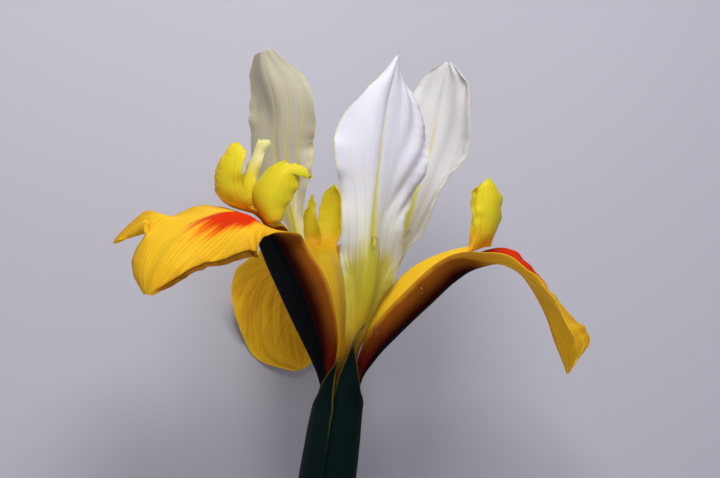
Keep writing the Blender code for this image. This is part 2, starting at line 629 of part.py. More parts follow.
def make_styles(root):
    lemon = material("style_yellow", (0.85, 0.62, 0.05), 0.45)
    for name, style in STYLES.items():
        grids = [arm_grid(style, ARM_ROWS, ARM_HALF_COLUMNS)]
        grids += [crest_grid(style, crest, CREST_ROWS, ARM_HALF_COLUMNS) for crest in style["crests"]]
        made = place(name, sheet_mesh(name, grids, [False] + [True] * len(style["crests"])), lemon, root)
        solidify(made, CREST_THICK)


def make_bracts(root):
    green = material("spathe_green", (0.012, 0.04, 0.035), 0.45)
    for name, levels in BRACTS.items():
        grid = bract_grid(levels, BRACT_ROWS, BRACT_COLUMNS)
        made = place(name, sheet_mesh(name, [grid], [True]), green, root)
        solidify(made, BRACT_THICK)


def make_stamens(root):
    cream = material("stamen_cream", (0.75, 0.6, 0.3), 0.6)
    for side in ("right", "left", "back"):
        fall = PETALS["fall_" + side]
        path = stamen_path(fall, STYLES["style_" + side])
        rings = about_axis(tube_rings(path, STAMEN_WIDTHS, STAMEN_ROWS, STAMEN_SIDES), fall["azimuth"])
        tube_object("stamen_" + side, rings, cream, root)


def make_stem(root):
    green = material("stem_green", (0.012, 0.035, 0.03), 0.45)
    tube_object("stem", tube_rings(STEM_LINE, STEM_WIDTHS, STEM_ROWS, STEM_SIDES, STEM_LOBES), green, root)


def main():
    for old in list(bpy.data.objects):
        bpy.data.objects.remove(old)
    root = bpy.data.objects.new("flower", None)
    bpy.context.scene.collection.objects.link(root)
    make_petals(root)
    make_styles(root)
    make_bracts(root)
    make_stamens(root)
    make_stem(root)
    lay_down(root)


main()
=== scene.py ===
"""Looks of the cut iris flower: a fine thin sheet over each packed petal, style arm and bract, with veins,
signal patches, ruffled margins and drops of water, and the light and camera.

Every piece is described as in the construction, in the flower's own frame and in millimetres: the origin is
where the petals leave the spathe, z runs up the flower's axis, and an azimuth of 0 is +x and of 90 is +y. The
shapes are the construction's own, cut finer, and the flower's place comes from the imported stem.
"""

from functools import partialmethod
from math import cos, pi, radians, sin

import bpy
import numpy as np
from mathutils import Matrix, Vector


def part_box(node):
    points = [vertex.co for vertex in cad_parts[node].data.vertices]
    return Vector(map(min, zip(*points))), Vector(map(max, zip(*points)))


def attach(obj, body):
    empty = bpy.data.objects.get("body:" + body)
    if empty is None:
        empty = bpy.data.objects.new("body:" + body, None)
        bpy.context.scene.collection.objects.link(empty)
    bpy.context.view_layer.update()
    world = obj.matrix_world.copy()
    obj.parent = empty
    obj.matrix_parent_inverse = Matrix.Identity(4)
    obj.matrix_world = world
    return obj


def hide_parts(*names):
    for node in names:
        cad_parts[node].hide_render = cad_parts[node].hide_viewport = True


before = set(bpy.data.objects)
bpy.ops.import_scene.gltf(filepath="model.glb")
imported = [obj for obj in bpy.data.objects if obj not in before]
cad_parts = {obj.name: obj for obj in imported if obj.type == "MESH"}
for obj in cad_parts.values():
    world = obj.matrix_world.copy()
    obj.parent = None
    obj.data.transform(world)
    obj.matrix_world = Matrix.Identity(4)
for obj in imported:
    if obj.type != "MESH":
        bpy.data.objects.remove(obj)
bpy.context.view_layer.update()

MM = 0.001

# How the flower lies
DOWN_AZIMUTH = 100.6
HEAD_RISE = 12.3

# Stem
STEM_LENGTH = 150.0
STEM_RADIUS = 3.3
STEM_SIDES = 15
STEM_ROWS = 28
STEM_LOBES = 0.03
OVARY_RADIUS = 3.7
TUBE_TOP = -6.8
TUBE_RADIUS = 4.0

# Centre line of the stem from its cut end to the seat of the petals
STEM_LINE = (
    (-12.0, 7.0, -STEM_LENGTH), (-11.2, 4.6, -126.0), (-9.0, 2.4, -96.0), (-6.6, 1.2, -66.0),
    (-4.4, 0.5, -42.0), (-2.3, 0.1, -22.0), (-0.8, 0.0, -12.0), (0.0, 0.0, TUBE_TOP),
)
STEM_WIDTHS = (
    (0.0, STEM_RADIUS), (0.4, STEM_RADIUS), (0.57, STEM_RADIUS), (0.6, 3.5), (0.64, 3.1),
    (0.72, OVARY_RADIUS - 0.2), (0.82, OVARY_RADIUS), (0.9, 3.2), (0.96, 3.3), (1.0, TUBE_RADIUS),
)

# The two bracts of the spathe overlap round the ovary. Each level is a height, a radius about the stem's
# centre line and the azimuths that the bract spans there.
BRACTS = {
    "spathe_outer": (
        (-64.0, 4.85, 60, 296), (-56.0, 5.35, 64, 288), (-44.0, 5.75, 70, 276), (-32.0, 6.15, 78, 266),
        (-22.0, 6.25, 86, 260), (-15.0, 6.05, 94, 258), (-10.0, 5.9, 116, 256), (-6.5, 5.7, 182, 256),
        (-4.0, 5.9, 216, 257), (-1.8, 6.4, 232, 260), (0.4, 6.9, 247, 263), (2.4, 7.4, 260, 267),
        (3.9, 7.7, 266, 269),
    ),
    "spathe_inner": (
        (-63.0, 3.95, 240, 470), (-56.0, 4.45, 246, 462), (-44.0, 4.85, 250, 452), (-32.0, 5.25, 252, 446),
        (-22.0, 5.35, 252, 440), (-15.0, 5.1, 250, 430), (-10.0, 4.75, 249, 412), (-6.5, 4.6, 250, 380),
        (-3.8, 5.1, 256, 331), (-1.2, 5.9, 264, 314), (1.5, 6.9, 272, 303), (4.0, 7.8, 280, 296),
        (6.5, 8.5, 286, 291.5), (8.8, 9.0, 292, 295.5), (10.9, 9.3, 303, 306),
    ),
}
SAMPLES_A_COLUMN = 5

# Steps in which a line's length is measured
LINE_STEPS = 400

# A side of a petal turns up over this share of its width, just outside the flat keel
TURN_SHARE = 0.3

# Numbers of a full station
STATION_NUMBERS = 9

# The thickness of the claw ends at this share of the length
FALL_CLAW_END = 0.56
STANDARD_CLAW_END = 0.4

# Each station along a petal: share of the length, then width, rise and curl of the left and the right side,
# then twist of the whole section and the share of the width that stays flat beside the keel. Zeros at the end
# are left out. Widths are in millimetres and angles in degrees. A wave is (height, count along the petal,
# phase, side or 0 for both, from share, to share). A tug bends one place of the petal: (share of the length,
# place across from -1 to 1, reach along, reach across, pull), where the pull is (outwards, sideways, up) in
# millimetres.
FALL_CLAW = ((0.00, 1.9, 1.9, 25, 25, 5, 5, 0, 0.2), (0.08, 2.8, 2.8, 45, 45, 5, 5, 0, 0.2))

PETALS = {
    "fall_right": {
        "azimuth": 357,
        "line": (
            (3.6, 0, -5.9), (4.4, 0, -0.6), (7.6, 0, 4.2), (11.8, 0, 8.6), (18.4, 0, 14.9), (24.0, 0, 19.9),
            (29.4, 0, 23.0), (33.0, 0, 23.7), (36.2, 0, 22.3), (40.2, 0, 17.9), (43.2, 0, 12.6),
            (45.2, 0, 6.6), (47.4, 0, 0.4),
        ),
        "stations": FALL_CLAW + (
            (0.13, 5.0, 4.7, 60, 58, 5, 5, 0, 0.22), (0.19, 7.3, 6.8, 66, 66, 5, 5, 0, 0.25),
            (0.33, 9.0, 9.0, 70, 70, 5, 5, 0, 0.28), (0.46, 8.9, 7.6, 68, 66, 0, 0, 0, 0.25),
            (0.51, 8.2, 6.8, 54, 52, 0, 0, 0, 0.18), (0.57, 5.8, 6.0, 32, 38, 0, 0, 0, 0.1),
            (0.64, 6.2, 7.6, 22, 32), (0.72, 7.6, 9.0, 23, 20), (0.82, 9.2, 11.0, 25, 22, 0, 3),
            (0.90, 8.8, 13.8, 32, 38, 0, 5), (0.96, 5.8, 11.6, 30, 38, 0, 5), (1.00, 1.0, 2.0, 30, 30),
        ),
        "waves": ((0.5, 4.2, 0.2, -1, 0.6, 1.0), (0.5, 3.4, 0.5, 1, 0.6, 1.0)),
    },
    "fall_left": {
        "azimuth": 220,
        "line": (
            (3.6, 0, -5.9), (5.0, 0, 0.2), (11.0, 0, 13.7), (18.3, 0, 26.3), (22.2, 0, 31.8), (25.4, 0, 33.9),
            (28.9, 0, 34.3), (32.7, 0, 33.4), (37.2, 0, 31.4), (42.4, 0, 28.0), (46.6, 0, 23.2),
            (49.0, 0, 17.6),
        ),
        "stations": FALL_CLAW + (
            (0.17, 6.6, 6.6, 66, 66, 5, 5, 0, 0.25), (0.32, 9.5, 9.5, 70, 70, 5, 5, 0, 0.28),
            (0.46, 8.6, 8.3, 68, 67, 0, 0, 0, 0.25), (0.55, 6.5, 8.0, 30, -16, 0, -34, 0, 0.1),
            (0.61, 8.0, 13.2, 6, -49, 0, -8), (0.68, 10.6, 12.0, 6, -62), (0.76, 13.2, 10.8, 18, -62, -32),
            (0.84, 13.0, 9.2, 30, -56, -46), (0.91, 9.3, 7.0, 28, -48, -50), (0.97, 4.7, 3.8, 16, -40, -20),
            (1.00, 1.4, 1.4, 0, -20),
        ),
        "waves": ((0.2, 4.6, 0.3, 1, 0.6, 1.0),),
        "tugs": (
            (0.77, -1.0, 0.03, 0.40, (1.2, -1.6, 3.2)),
            (0.81, -1.0, 0.026, 0.24, (4.4, -3.5, -3.4)),
            (0.86, -1.0, 0.03, 0.30, (-2.2, 2.2, 4.0)),
            (0.91, -1.0, 0.03, 0.30, (0.0, -0.2, 0.8)),
        ),
    },
    "fall_back": {
        "azimuth": 102,
        "line": (
            (3.6, 0, -5.9), (4.8, 0, 0.2), (8.4, 0, 4.6), (13.0, 0, 9.6), (19.0, 0, 16.0), (25.0, 0, 21.5),
            (30.0, 0.3, 24.0), (34.0, 0.9, 24.0), (37.6, 1.8, 21.5), (40.6, 2.6, 17.0), (42.6, 2.8, 11.0),
            (43.4, 2.2, 5.0), (43.2, 0.8, -1.2),
        ),
        "stations": FALL_CLAW + (
            (0.18, 6.6, 6.6, 66, 66, 5, 5, 0, 0.25), (0.33, 9.0, 9.0, 70, 70, 5, 5, 0, 0.28),
            (0.46, 7.4, 7.4, 60, 60, 0, 0, 0, 0.2), (0.56, 7.4, 7.4, 30, 30), (0.64, 10.0, 10.5, 14, 14),
            (0.75, 12.0, 13.8, 12, 12), (0.86, 12.0, 11.7, 12, 12), (0.95, 9.4, 7.8, 12, 12),
            (1.00, 1.4, 1.4),
        ),
        "waves": ((0.7, 4.2, 0.2, 0, 0.6, 1.0),),
    },
    "standard_front": {
        "azimuth": 298,
        "line": (
            (3.5, 0, -5.9), (4.8, 0, 2.0), (7.8, 0, 10.0), (10.6, 0.4, 18.0), (12.6, 0.6, 28.0),
            (13.4, 1.0, 37.0), (14.0, 1.8, 47.0), (14.4, 3.2, 56.0), (15.2, 5.6, 66.3),
        ),
        "stations": (
            (0.00, 0.8, 0.8, 15, 15), (0.13, 1.5, 1.5, 25, 25), (0.23, 2.6, 3.6, 25, 25),
            (0.34, 4.4, 6.9, 25, 25), (0.43, 6.0, 9.2, 20, 20), (0.53, 6.5, 8.6, 20, 20),
            (0.61, 6.9, 11.0, 18, 18), (0.69, 9.6, 12.4, 15, 12), (0.82, 8.0, 11.8, 15, 12),
            (0.90, 4.2, 8.2, 22, 22), (0.95, 1.8, 4.4, 30, 30), (1.00, 0.3, 0.3, 30, 30),
        ),
        "waves": ((0.7, 5.2, 0.1, 0, 0.35, 1.0),),
    },
    "standard_right": {
        "azimuth": 50,
        "line": (
            (3.5, 0, -5.9), (4.6, 0, 2.0), (7.4, -0.2, 10.0), (11.4, -1.6, 18.0), (16.0, -3.2, 28.0),
            (19.4, -4.6, 37.0), (23.2, -5.8, 47.0), (26.0, -6.8, 57.0), (27.5, -7.6, 66.8),
        ),
        "stations": (
            (0.00, 0.8, 0.8, 15, 15), (0.13, 1.1, 1.1, 25, 25), (0.28, 3.3, 2.6, 25, 25),
            (0.43, 4.8, 6.0, 20, 20), (0.60, 9.2, 9.0, 15, 15), (0.78, 12.8, 10.5, 15, 12),
            (0.89, 10.2, 8.0, 20, 20), (0.96, 6.6, 5.6, 20, 20), (1.00, 1.2, 1.2, 30, 30),
        ),
        "waves": ((0.7, 4.6, 0.4, 0, 0.35, 1.0),),
    },
    "standard_left": {
        "azimuth": 161,
        "line": (
            (3.5, 0, -5.9), (4.0, 0, 3.0), (5.2, 0, 11.0), (7.2, 0, 19.0), (9.6, 0, 29.0), (11.2, 0, 35.5),
            (13.8, 0, 43.0), (14.6, 0, 48.0), (14.2, 0, 56.0), (15.0, 0, 60.0), (16.6, 0, 65.0),
            (17.4, 0, 68.4),
        ),
        "stations": (
            (0.00, 0.8, 0.8, 15, 15), (0.13, 1.5, 1.5, 25, 25), (0.28, 2.2, 2.2, 25, 25, 0, 0, 20),
            (0.45, 2.8, 1.5, 20, 20, 0, 0, 60), (0.53, 4.0, 2.2, 15, 15, 0, 0, 70),
            (0.61, 9.0, 7.2, 15, 12, 0, 0, 70), (0.74, 9.4, 9.0, 15, 12, 0, 0, 70),
            (0.81, 9.2, 9.7, 15, 12, 0, 0, 70), (0.89, 9.0, 7.6, 15, 12, 0, 0, 70),
            (0.95, 7.6, 4.8, 20, 20, 0, 0, 70), (1.00, 4.0, 2.4, 20, 20, 0, 0, 70),
        ),
        "waves": ((0.7, 5.0, 0.7, 0, 0.4, 1.0),),
    },
}

# Outlines of the crests: each share of the height with its share of the full width
FULL = ((0.0, 0.70), (0.2, 0.98), (0.5, 1.0), (0.8, 0.82), (0.93, 0.58), (1.0, 0.10))
BROAD = ((0.0, 0.64), (0.2, 0.82), (0.5, 1.0), (0.8, 0.84), (0.93, 0.55), (1.0, 0.08))
OVATE = ((0.0, 0.30), (0.15, 0.34), (0.35, 0.66), (0.6, 1.0), (0.8, 0.86), (0.93, 0.50), (1.0, 0.08))
TAPERED = ((0.0, 0.80), (0.25, 0.84), (0.5, 0.62), (0.8, 0.28), (1.0, 0.04))
FANNED = ((0.0, 0.70), (0.3, 1.12), (0.6, 0.62), (0.85, 0.62), (0.95, 0.72), (1.0, 0.50))

# Each style arm arches over the claw of the fall below it and ends in upright crests. A crest is (shares of
# the arm's last row that it grows from, angle by which it is turned sideways, width, roll of its sides,
# outline, line from the end of the arm as (outwards, sideways, up), tugs).
STYLES = {
    "style_right": {
        "azimuth": 357,
        "slant": 5.0,
        "line": (
            (1.3, 0, -6.0), (2.0, 0, 0.0), (3.2, 0, 6.0), (5.2, 0, 11.2), (8.2, 0, 15.6), (12.2, 0, 19.9),
            (16.4, 0, 23.2), (21.0, 0, 25.5), (25.6, 0, 26.8), (29.2, 0, 27.2),
        ),
        "tugs": ((0.88, -1.0, 0.14, 0.6, (0.0, -0.2, -0.9)),),
        "crests": (
            ((0.0, 0.5), -50, 7.0, 30, BROAD,
             ((1.2, -2.0, 1.6), (2.2, -2.4, 5.0), (2.5, -2.6, 9.6), (1.9, -2.4, 13.8)), ()),
            ((0.5, 1.0), 52, 7.4, 30, BROAD,
             ((0.6, 2.0, 1.6), (1.6, 2.4, 5.0), (1.6, 2.6, 9.2), (0.6, 2.4, 12.8)), ()),
        ),
    },
    "style_left": {
        "azimuth": 220,
        "slant": 3.6,
        "line": (
            (1.3, 0, -6.0), (1.9, 0, 0.0), (2.8, 0, 8.0), (4.6, 0, 15.0), (7.8, 0, 21.4), (11.6, 0, 26.8),
            (15.4, 0, 30.8), (18.6, 0, 33.4), (21.4, 0, 34.6),
        ),
        "tugs": ((1.0, 1.0, 0.07, 0.4, (1.4, -0.2, -2.4)),),
        "crests": (
            ((0.0, 0.25), 8, 8.0, 34, FULL,
             ((2.2, -3.7, 0.8), (4.9, -4.9, 3.4), (5.1, -4.9, 8.4), (2.8, -3.8, 13.6)), ()),
            ((0.25, 0.5), 20, 4.6, 30, FANNED,
             ((1.4, -2.0, 0.6), (1.8, -2.7, 3.8), (0.3, -1.9, 8.8), (-1.6, -0.9, 14.2)), ()),
            ((0.5, 1.0), 36, 9.2, 40, OVATE,
             ((0.2, 4.5, -2.4), (0.8, 4.4, 0.6), (-0.3, 5.0, 5.2), (-2.4, 6.2, 9.4)),
             ((0.95, 1.0, 0.07, 0.6, (-2.4, 1.9, -2.4)), (1.0, 0.5, 0.06, 0.4, (-2.2, 1.8, -0.4)))),
        ),
    },
    "style_back": {
        "azimuth": 102,
        "slant": 2.4,
        "line": (
            (1.3, 0, -6.0), (2.0, 0, 0.0), (3.2, 0, 6.0), (5.4, 0, 12.0), (9.0, 0, 17.4), (13.2, 0, 21.8),
            (18.0, 0, 25.2), (23.0, 0, 27.2),
        ),
        "crests": (
            ((0.0, 0.5), -28, 5.6, 30, BROAD,
             ((1.4, -2.6, 1.2), (2.4, -3.2, 4.5), (2.4, -3.6, 9.0), (1.4, -3.8, 13.0)), ()),
            ((0.5, 1.0), 18, 6.6, 30, TAPERED,
             ((0.8, 2.2, 1.0), (0.8, 2.2, 3.6), (0.6, 2.0, 7.0), (0.2, 1.6, 10.8)), ()),
        ),
    },
}
# Share of the arm, half width, fall of its edges and the share that stays flat
ARM_STATIONS = (
    (0.00, 1.0, 10, 0.0), (0.20, 1.8, 25, 0.0), (0.40, 4.2, 46, 0.1), (0.60, 5.5, 50, 0.12),
    (0.76, 4.8, 44, 0.12), (0.90, 4.0, 30, 0.1), (1.00, 3.8, 18, 0.1),
)
ARM_ROWS = 12

# A stamen lies between each claw and the style arm over it
STAMEN_SHARE = 0.52
STAMEN_LENGTH_SHARE = 0.84
FILAMENT_RADIUS = 0.5
ANTHER_RADIUS = 0.85
STAMEN_WIDTHS = (
    (0.0, FILAMENT_RADIUS, FILAMENT_RADIUS), (0.45, FILAMENT_RADIUS, FILAMENT_RADIUS),
    (0.55, 1.3 * ANTHER_RADIUS, 0.7 * ANTHER_RADIUS), (0.9, 1.3 * ANTHER_RADIUS, 0.7 * ANTHER_RADIUS),
    (1.0, 0.35, 0.3),
)

# How finely the sheets and tubes are cut, the angle from which their edges are sharp, and how thick they are
FINE_ROWS = 170
FINE_HALF_COLUMNS = 45
FINE_STYLE_HALF_COLUMNS = 40
FINE_ARM_ROWS = 80
FINE_CREST_ROWS = 60
FINE_BRACT_ROWS = 160
FINE_BRACT_COLUMNS = 80
FINE_STEM_ROWS = 220
FINE_STEM_SIDES = 60
FINE_STAMEN_ROWS = 70
FINE_STAMEN_SIDES = 20
SHEET_SHARP = 65
TUBE_SHARP = 50
FINE_THICK = 0.4
FINE_KEEL_THICK = 1.2
STYLE_THICK = 0.42
BRACT_FINE_THICK = 0.5
BRACT_RIBS = 11
BRACT_RIB_HEIGHT = 0.04

# Detail of the margins: how far apart the nicks and frills of a petal are, how far the crests' nicks, frill,
# ruffle and uneven top stand off, and where the bracts turn papery
NICK_SPACING = 14.0
FRILL_SPACING = 26.0
CREST_NICKS = 0.16
CREST_FRILL = 0.4
CREST_RUFFLE = 0.10
CREST_TOP = 0.2
PAPERY_FROM = {"spathe_outer": 0.995, "spathe_inner": 0.90}

# The share of a fall's length where claw and blade meet
FALL_HAFT = 0.53

# Detail of each petal. Veins part from fan_start on. Heights are in millimetres, and pleats are counted to
# one unit of the veins' coordinate. A signal is the red patch: where it starts and ends along the petal, its
# middle from -1 to 1 across and its half width there. A lip is a margin that turns up: its side, where it
# starts and ends, and its height; its band is also darkened with painted shade.
FALL_DETAIL = {
    "fan_start": 0.50, "fan_spread": 0.90, "nicks": 0.06, "pleats": 3.0, "pleat_height": 0.06,
    "frill": 0.24, "uneven": 0.25, "folds": 0.0, "creases": 0.0, "rib": 0.05, "claw_end": FALL_CLAW_END,
    "painted_shade": 0.0,
}
STANDARD_DETAIL = {
    "fan_start": 0.15, "fan_spread": 0.55, "nicks": 0.06, "pleats": 2.0, "pleat_height": 0.02, "frill": 0.2,
    "uneven": 0.35, "folds": 0.25, "creases": 0.0, "rib": 0.12, "claw_end": STANDARD_CLAW_END, "painted_shade": 0.0,
}
DETAILS = {
    "fall_right": FALL_DETAIL | {"seed": 10, "signal": (0.53, 0.76, 0.8, 0.7)},
    "fall_left": FALL_DETAIL | {"seed": 20, "signal": (0.50, 0.80, 0.12, 0.34), "lip_and_painted_shade": (1, 0.60, 1.02, -0.5)},
    "fall_back": FALL_DETAIL | {"seed": 30, "signal": (0.50, 0.76, 0.0, 0.36)},
    # Of the standards below, the right and the left one are greyed towards olive with painted shade, the left
    # one most
    "standard_front": STANDARD_DETAIL | {"seed": 60, "creases": 0.3},
    "standard_right": STANDARD_DETAIL | {"seed": 70, "painted_shade": 0.25},
    "standard_left": STANDARD_DETAIL | {"seed": 80, "painted_shade": 1.0, "folds": 0.1, "uneven": 0.2},
}

# How pale the top of each crest is, and how ruffled and orange its left half is
CREST_LOOKS = {
    ("style_left", 0): (0.0, 1.0),
    ("style_left", 1): (1.0, 0.0),
    ("style_back", 0): (0.0, 0.3),
}

# Rings and sides of a water drop, and its middle's place over the surface and its height in radii
DROP_RINGS = 13
DROP_SIDES = 32
DROP_RAISE = 0.3
DROP_HEIGHT = 0.75

# Water drops: piece, which of its sheets, place along it and across it, side (1 inner or upper, -1 outer or
# lower) and radius
DROPS = (
    ("standard_front", 0, 0.48, 0.02, -1, 1.0),
    ("standard_right", 0, 0.50, -0.40, 1, 0.60),
    ("fall_right", 0, 0.40, -0.78, -1, 0.95),
    ("fall_right", 0, 0.25, -0.85, -1, 0.85),
    ("fall_right", 0, 0.22, -0.80, -1, 0.30),
    ("spathe_outer", 0, 0.82, 0.65, -1, 0.42),
    ("style_left", 1, 0.35, 0.30, -1, 0.60),
    ("style_left", 2, 0.25, 0.45, -1, 0.62),
)

# The camera, in the flower's frame
CAMERA_DISTANCE = 500.0
CAMERA_ASIDE = 4.2
CAMERA_HEIGHT = 28.56
VIEW_WIDTH = 151.2

# The room, the floor and the lights, in the row frame and in metres. A light is its name, place, size, power
# in watts and colour, and all of them point at one place.
ROOM_COLOUR = (0.80, 0.82, 1.0)
ROOM_STRENGTH = 0.22
FLOOR_COLOUR = (0.50, 0.50, 0.57)
FLOOR_HALF = 3.0
FLOOR_DROP = 0.0004
LIT_PLACE = (0.0, 0.05, 0.03)
LIGHTS = (
    ("key", (-0.01, 0.26, 0.29), 0.20, 1.05, (1.0, 0.97, 0.93)),
    ("fill", (0.50, -0.10, 0.50), 0.5, 0.3, (0.85, 0.88, 1.0)),
    ("low", (-0.26, -0.40, 0.20), 0.4, 0.8, (1.0, 0.93, 0.84)),
)


def unit(vectors):
    return vectors / np.maximum(np.linalg.norm(vectors, axis=-1), 1e-9)[..., None]


def distances(points):
    """How far along a line each of its points lies."""
    return np.r_[0, np.cumsum(np.linalg.norm(np.diff(points, axis=0), axis=1))]


def smooth(knots, values, at):
    """Values between the knots, on a smooth curve through all of them."""
    knots = np.asarray(knots, float)
    values = np.asarray(values, float).reshape(len(knots), -1)
    slope = np.gradient(values, knots, axis=0)
    at = np.asarray(at, float)
    low = np.clip(np.searchsorted(knots, at, side="right") - 1, 0, len(knots) - 2)
    gap = (knots[low + 1] - knots[low])[:, None]
    t = (at - knots[low])[:, None] / gap
    from_low = (1 + 2 * t) * (1 - t) ** 2 * values[low] + t * (1 - t) ** 2 * gap * slope[low]
    from_high = t * t * (3 - 2 * t) * values[low + 1] + t * t * (t - 1) * gap * slope[low + 1]
    return from_low + from_high


def line_at(points, shares):
    """Positions, directions and length of the smooth line through the points, at shares of its length."""
    chord = distances(points)
    fine = np.linspace(0, chord[-1], LINE_STEPS)
    length = distances(smooth(chord, points, fine))
    at = np.interp(shares, length / length[-1], fine)
    step = 0.001 * chord[-1]
    ahead = smooth(chord, points, np.minimum(at + step, chord[-1]))
    behind = smooth(chord, points, np.maximum(at - step, 0))
    return smooth(chord, points, at), unit(ahead - behind), length[-1]


def side_of(ahead):
    """The directions square to those ahead that lie closest to +y."""
    side = np.tile([0.0, 1.0, 0.0], (len(ahead), 1))
    return unit(side - ahead * (side * ahead).sum(axis=1)[:, None])


def turned(vectors, axes, angles):
    """Each vector turned about its own unit axis."""
    c = np.cos(angles)[:, None]
    s = np.sin(angles)[:, None]
    along = (vectors * axes).sum(axis=1)[:, None]
    return vectors * c + np.cross(axes, vectors) * s + axes * along * (1 - c)


def about_axis(grid, azimuth):
    """A grid drawn along +x, turned about the flower's axis."""
    a = radians(azimuth)
    turn = np.array([[cos(a), -sin(a), 0], [sin(a), cos(a), 0], [0, 0, 1]])
    return grid @ turn.T


def row_shares(rows, bunched=0.35):
    """Rows a little closer together at both ends of a petal."""
    even = np.linspace(0, 1, rows + 1)
    return bunched * (0.5 - 0.5 * np.cos(pi * even)) + (1 - bunched) * even


def tugged(grid, shares, tugs):
    """The grid with parts of it pulled away, each by a soft bump about its place."""
    place = np.linspace(-1, 1, grid.shape[1])
    for share, across, reach, spread, pull in tugs:
        along = np.exp(-(((shares - share) / reach) ** 2))
        aside = np.exp(-(((place - across) / spread) ** 2))
        grid = grid + np.outer(along, aside)[..., None] * np.asarray(pull, float)
    return grid


def petal_grid(petal, rows, half_columns):
    """Points of a petal's middle surface, one row for each step along it and one column across it."""
    shares = row_shares(rows)
    centre, ahead, _ = line_at(petal["line"], shares)
    stations = np.array([row + (0,) * (STATION_NUMBERS - len(row)) for row in petal["stations"]], float)
    width_l, width_r, rise_l, rise_r, curl_l, curl_r, twist, flat = smooth(
        stations[:, 0], stations[:, 1:], shares
    ).T
    side = turned(side_of(ahead), ahead, np.radians(twist))
    up = np.cross(ahead, side)
    samples = SAMPLES_A_COLUMN * half_columns
    across = np.linspace(0, 1, samples + 1)
    flat = np.clip(flat, 0, 0.6)[:, None]
    bend = np.clip((across - flat) / TURN_SHARE, 0, 1)
    bend = bend * bend * (3 - 2 * bend)
    halves = []
    for sign, width, rise, curl in ((-1, width_l, rise_l, curl_l), (1, width_r, rise_r, curl_r)):
        angle = np.radians(rise)[:, None] * bend + np.radians(curl)[:, None] * across ** 1.5
        middle = (angle[:, 1:] + angle[:, :-1]) / 2
        step = np.maximum(width, 0.05)[:, None] / samples
        out = np.c_[np.zeros(len(shares)), np.cumsum(np.cos(middle) * step, axis=1)]
        high = np.c_[np.zeros(len(shares)), np.cumsum(np.sin(middle) * step, axis=1)]
        out = out[:, ::SAMPLES_A_COLUMN]
        high = high[:, ::SAMPLES_A_COLUMN]
        edge = across[::SAMPLES_A_COLUMN] ** 2.5
        for height, count, phase, only_side, start, end in petal["waves"]:
            if only_side in (0, sign):
                grow = np.clip((shares - start) / 0.1, 0, 1) * np.clip((end - shares) / 0.08, 0, 1)
                wave = height * grow * np.sin(2 * pi * (count * shares + phase))
                high = high + wave[:, None] * edge[None, :]
        halves.append(centre[:, None] + sign * side[:, None] * out[..., None] + up[:, None] * high[..., None])
    grid = np.concatenate([halves[0][:, :0:-1], halves[1]], axis=1)
    return about_axis(tugged(grid, shares, petal.get("tugs", ())), petal["azimuth"])


def arm_grid(style, rows, half_columns):
    """Points of a style arm's middle surface, arched over its claw."""
    stations = [(s, w, w, -fall, -fall, 0, 0, 0, flat) for s, w, fall, flat in ARM_STATIONS]
    tugs = style.get("tugs", ())
    arm = {"azimuth": 0, "line": style["line"], "stations": stations, "waves": (), "tugs": tugs}
    grid = petal_grid(arm, rows, half_columns)
    reach = np.clip(row_shares(rows) / 0.3 - 2.33, 0, 1) ** 1.5
    middle = 0.5 - np.abs(np.linspace(-1, 1, 2 * half_columns + 1))
    grid[..., 0] += style["slant"] * np.outer(reach, middle)
    return about_axis(grid, style["azimuth"])


def crest_grid(style, crest, rows, half_columns):
    """Points of one crest, growing from its share of the arm's last row."""
    height = row_shares(rows, 0.5)
    columns, facing, width, roll, outline, line, tugs = crest
    start = (0.0, 0.6 * line[0][1], 0.0)
    centre = np.asarray(style["line"][-1], float) + line_at((start,) + line, height)[0]
    outline = np.array(outline)
    half = width * smooth(outline[:, 0], outline[:, 1:], height)[:, 0] / 2
    ease = 0.3 + 0.7 * np.clip(height / 0.2, 0, 1)
    facing = radians(facing)
    wide = np.array([-sin(facing), cos(facing), 0.0])
    face = np.array([cos(facing), sin(facing), 0.0])
    low, high = [round(2 * half_columns * share) for share in columns]
    across = np.linspace(-1, 1, high - low + 1)
    bow = half * radians(roll) * ease
    grid = centre[:, None] + wide * np.outer(half, across)[..., None]
    grid = grid - face * np.outer(bow, across ** 2 - 0.4)[..., None]
    grid = about_axis(tugged(grid, height, tugs), style["azimuth"])
    root = arm_grid(style, ARM_ROWS, half_columns)[-1][low : high + 1]
    blend = (1 - np.clip(height / 0.2, 0, 1)) ** 2
    return grid + (root - grid[0])[None] * blend[:, None, None]


def stem_centre(heights):
    """Where the stem's centre line passes each height, straight up above its top."""
    points = np.asarray(STEM_LINE, float)
    below = smooth(points[:, 2], points[:, :2], np.minimum(heights, TUBE_TOP))
    return np.c_[below, heights]


def bract_grid(levels, rows, columns):
    """Points of a bract's middle surface, wrapped round the stem."""
    levels = np.asarray(levels, float)
    shares = np.linspace(0, 1, rows + 1)
    shares = 0.4 * shares + 0.6 * (1 - (1 - shares) ** 1.8)
    heights = levels[0, 0] + (levels[-1, 0] - levels[0, 0]) * shares
    radius, start, end = smooth(levels[:, 0], levels[:, 1:], heights).T
    centre = stem_centre(heights)
    across = np.linspace(0, 1, columns + 1)
    azimuth = np.radians(start[:, None] + (end - start)[:, None] * across)
    ring = np.stack([np.cos(azimuth), np.sin(azimuth), np.zeros_like(azimuth)], axis=-1)
    return centre[:, None] + radius[:, None, None] * ring


def tube_rings(points, widths, rows, sides, lobes=0.0):
    """Rings about a smooth line. A width is (share, radius) or (share, radius across, radius up)."""
    shares = np.linspace(0, 1, rows + 1)
    centre, ahead, _ = line_at(points, shares)
    widths = np.asarray(widths, float)
    radii = smooth(widths[:, 0], widths[:, 1:], shares)
    side = side_of(ahead)
    up = np.cross(ahead, side)
    turn = 2 * pi * np.arange(sides) / sides
    lobed = 1 + lobes * np.cos(3 * turn)
    out = (np.cos(turn) * (radii[:, :1] * lobed))[..., None]
    high = (np.sin(turn) * (radii[:, -1:] * lobed))[..., None]
    return centre[:, None] + side[:, None] * out + up[:, None] * high


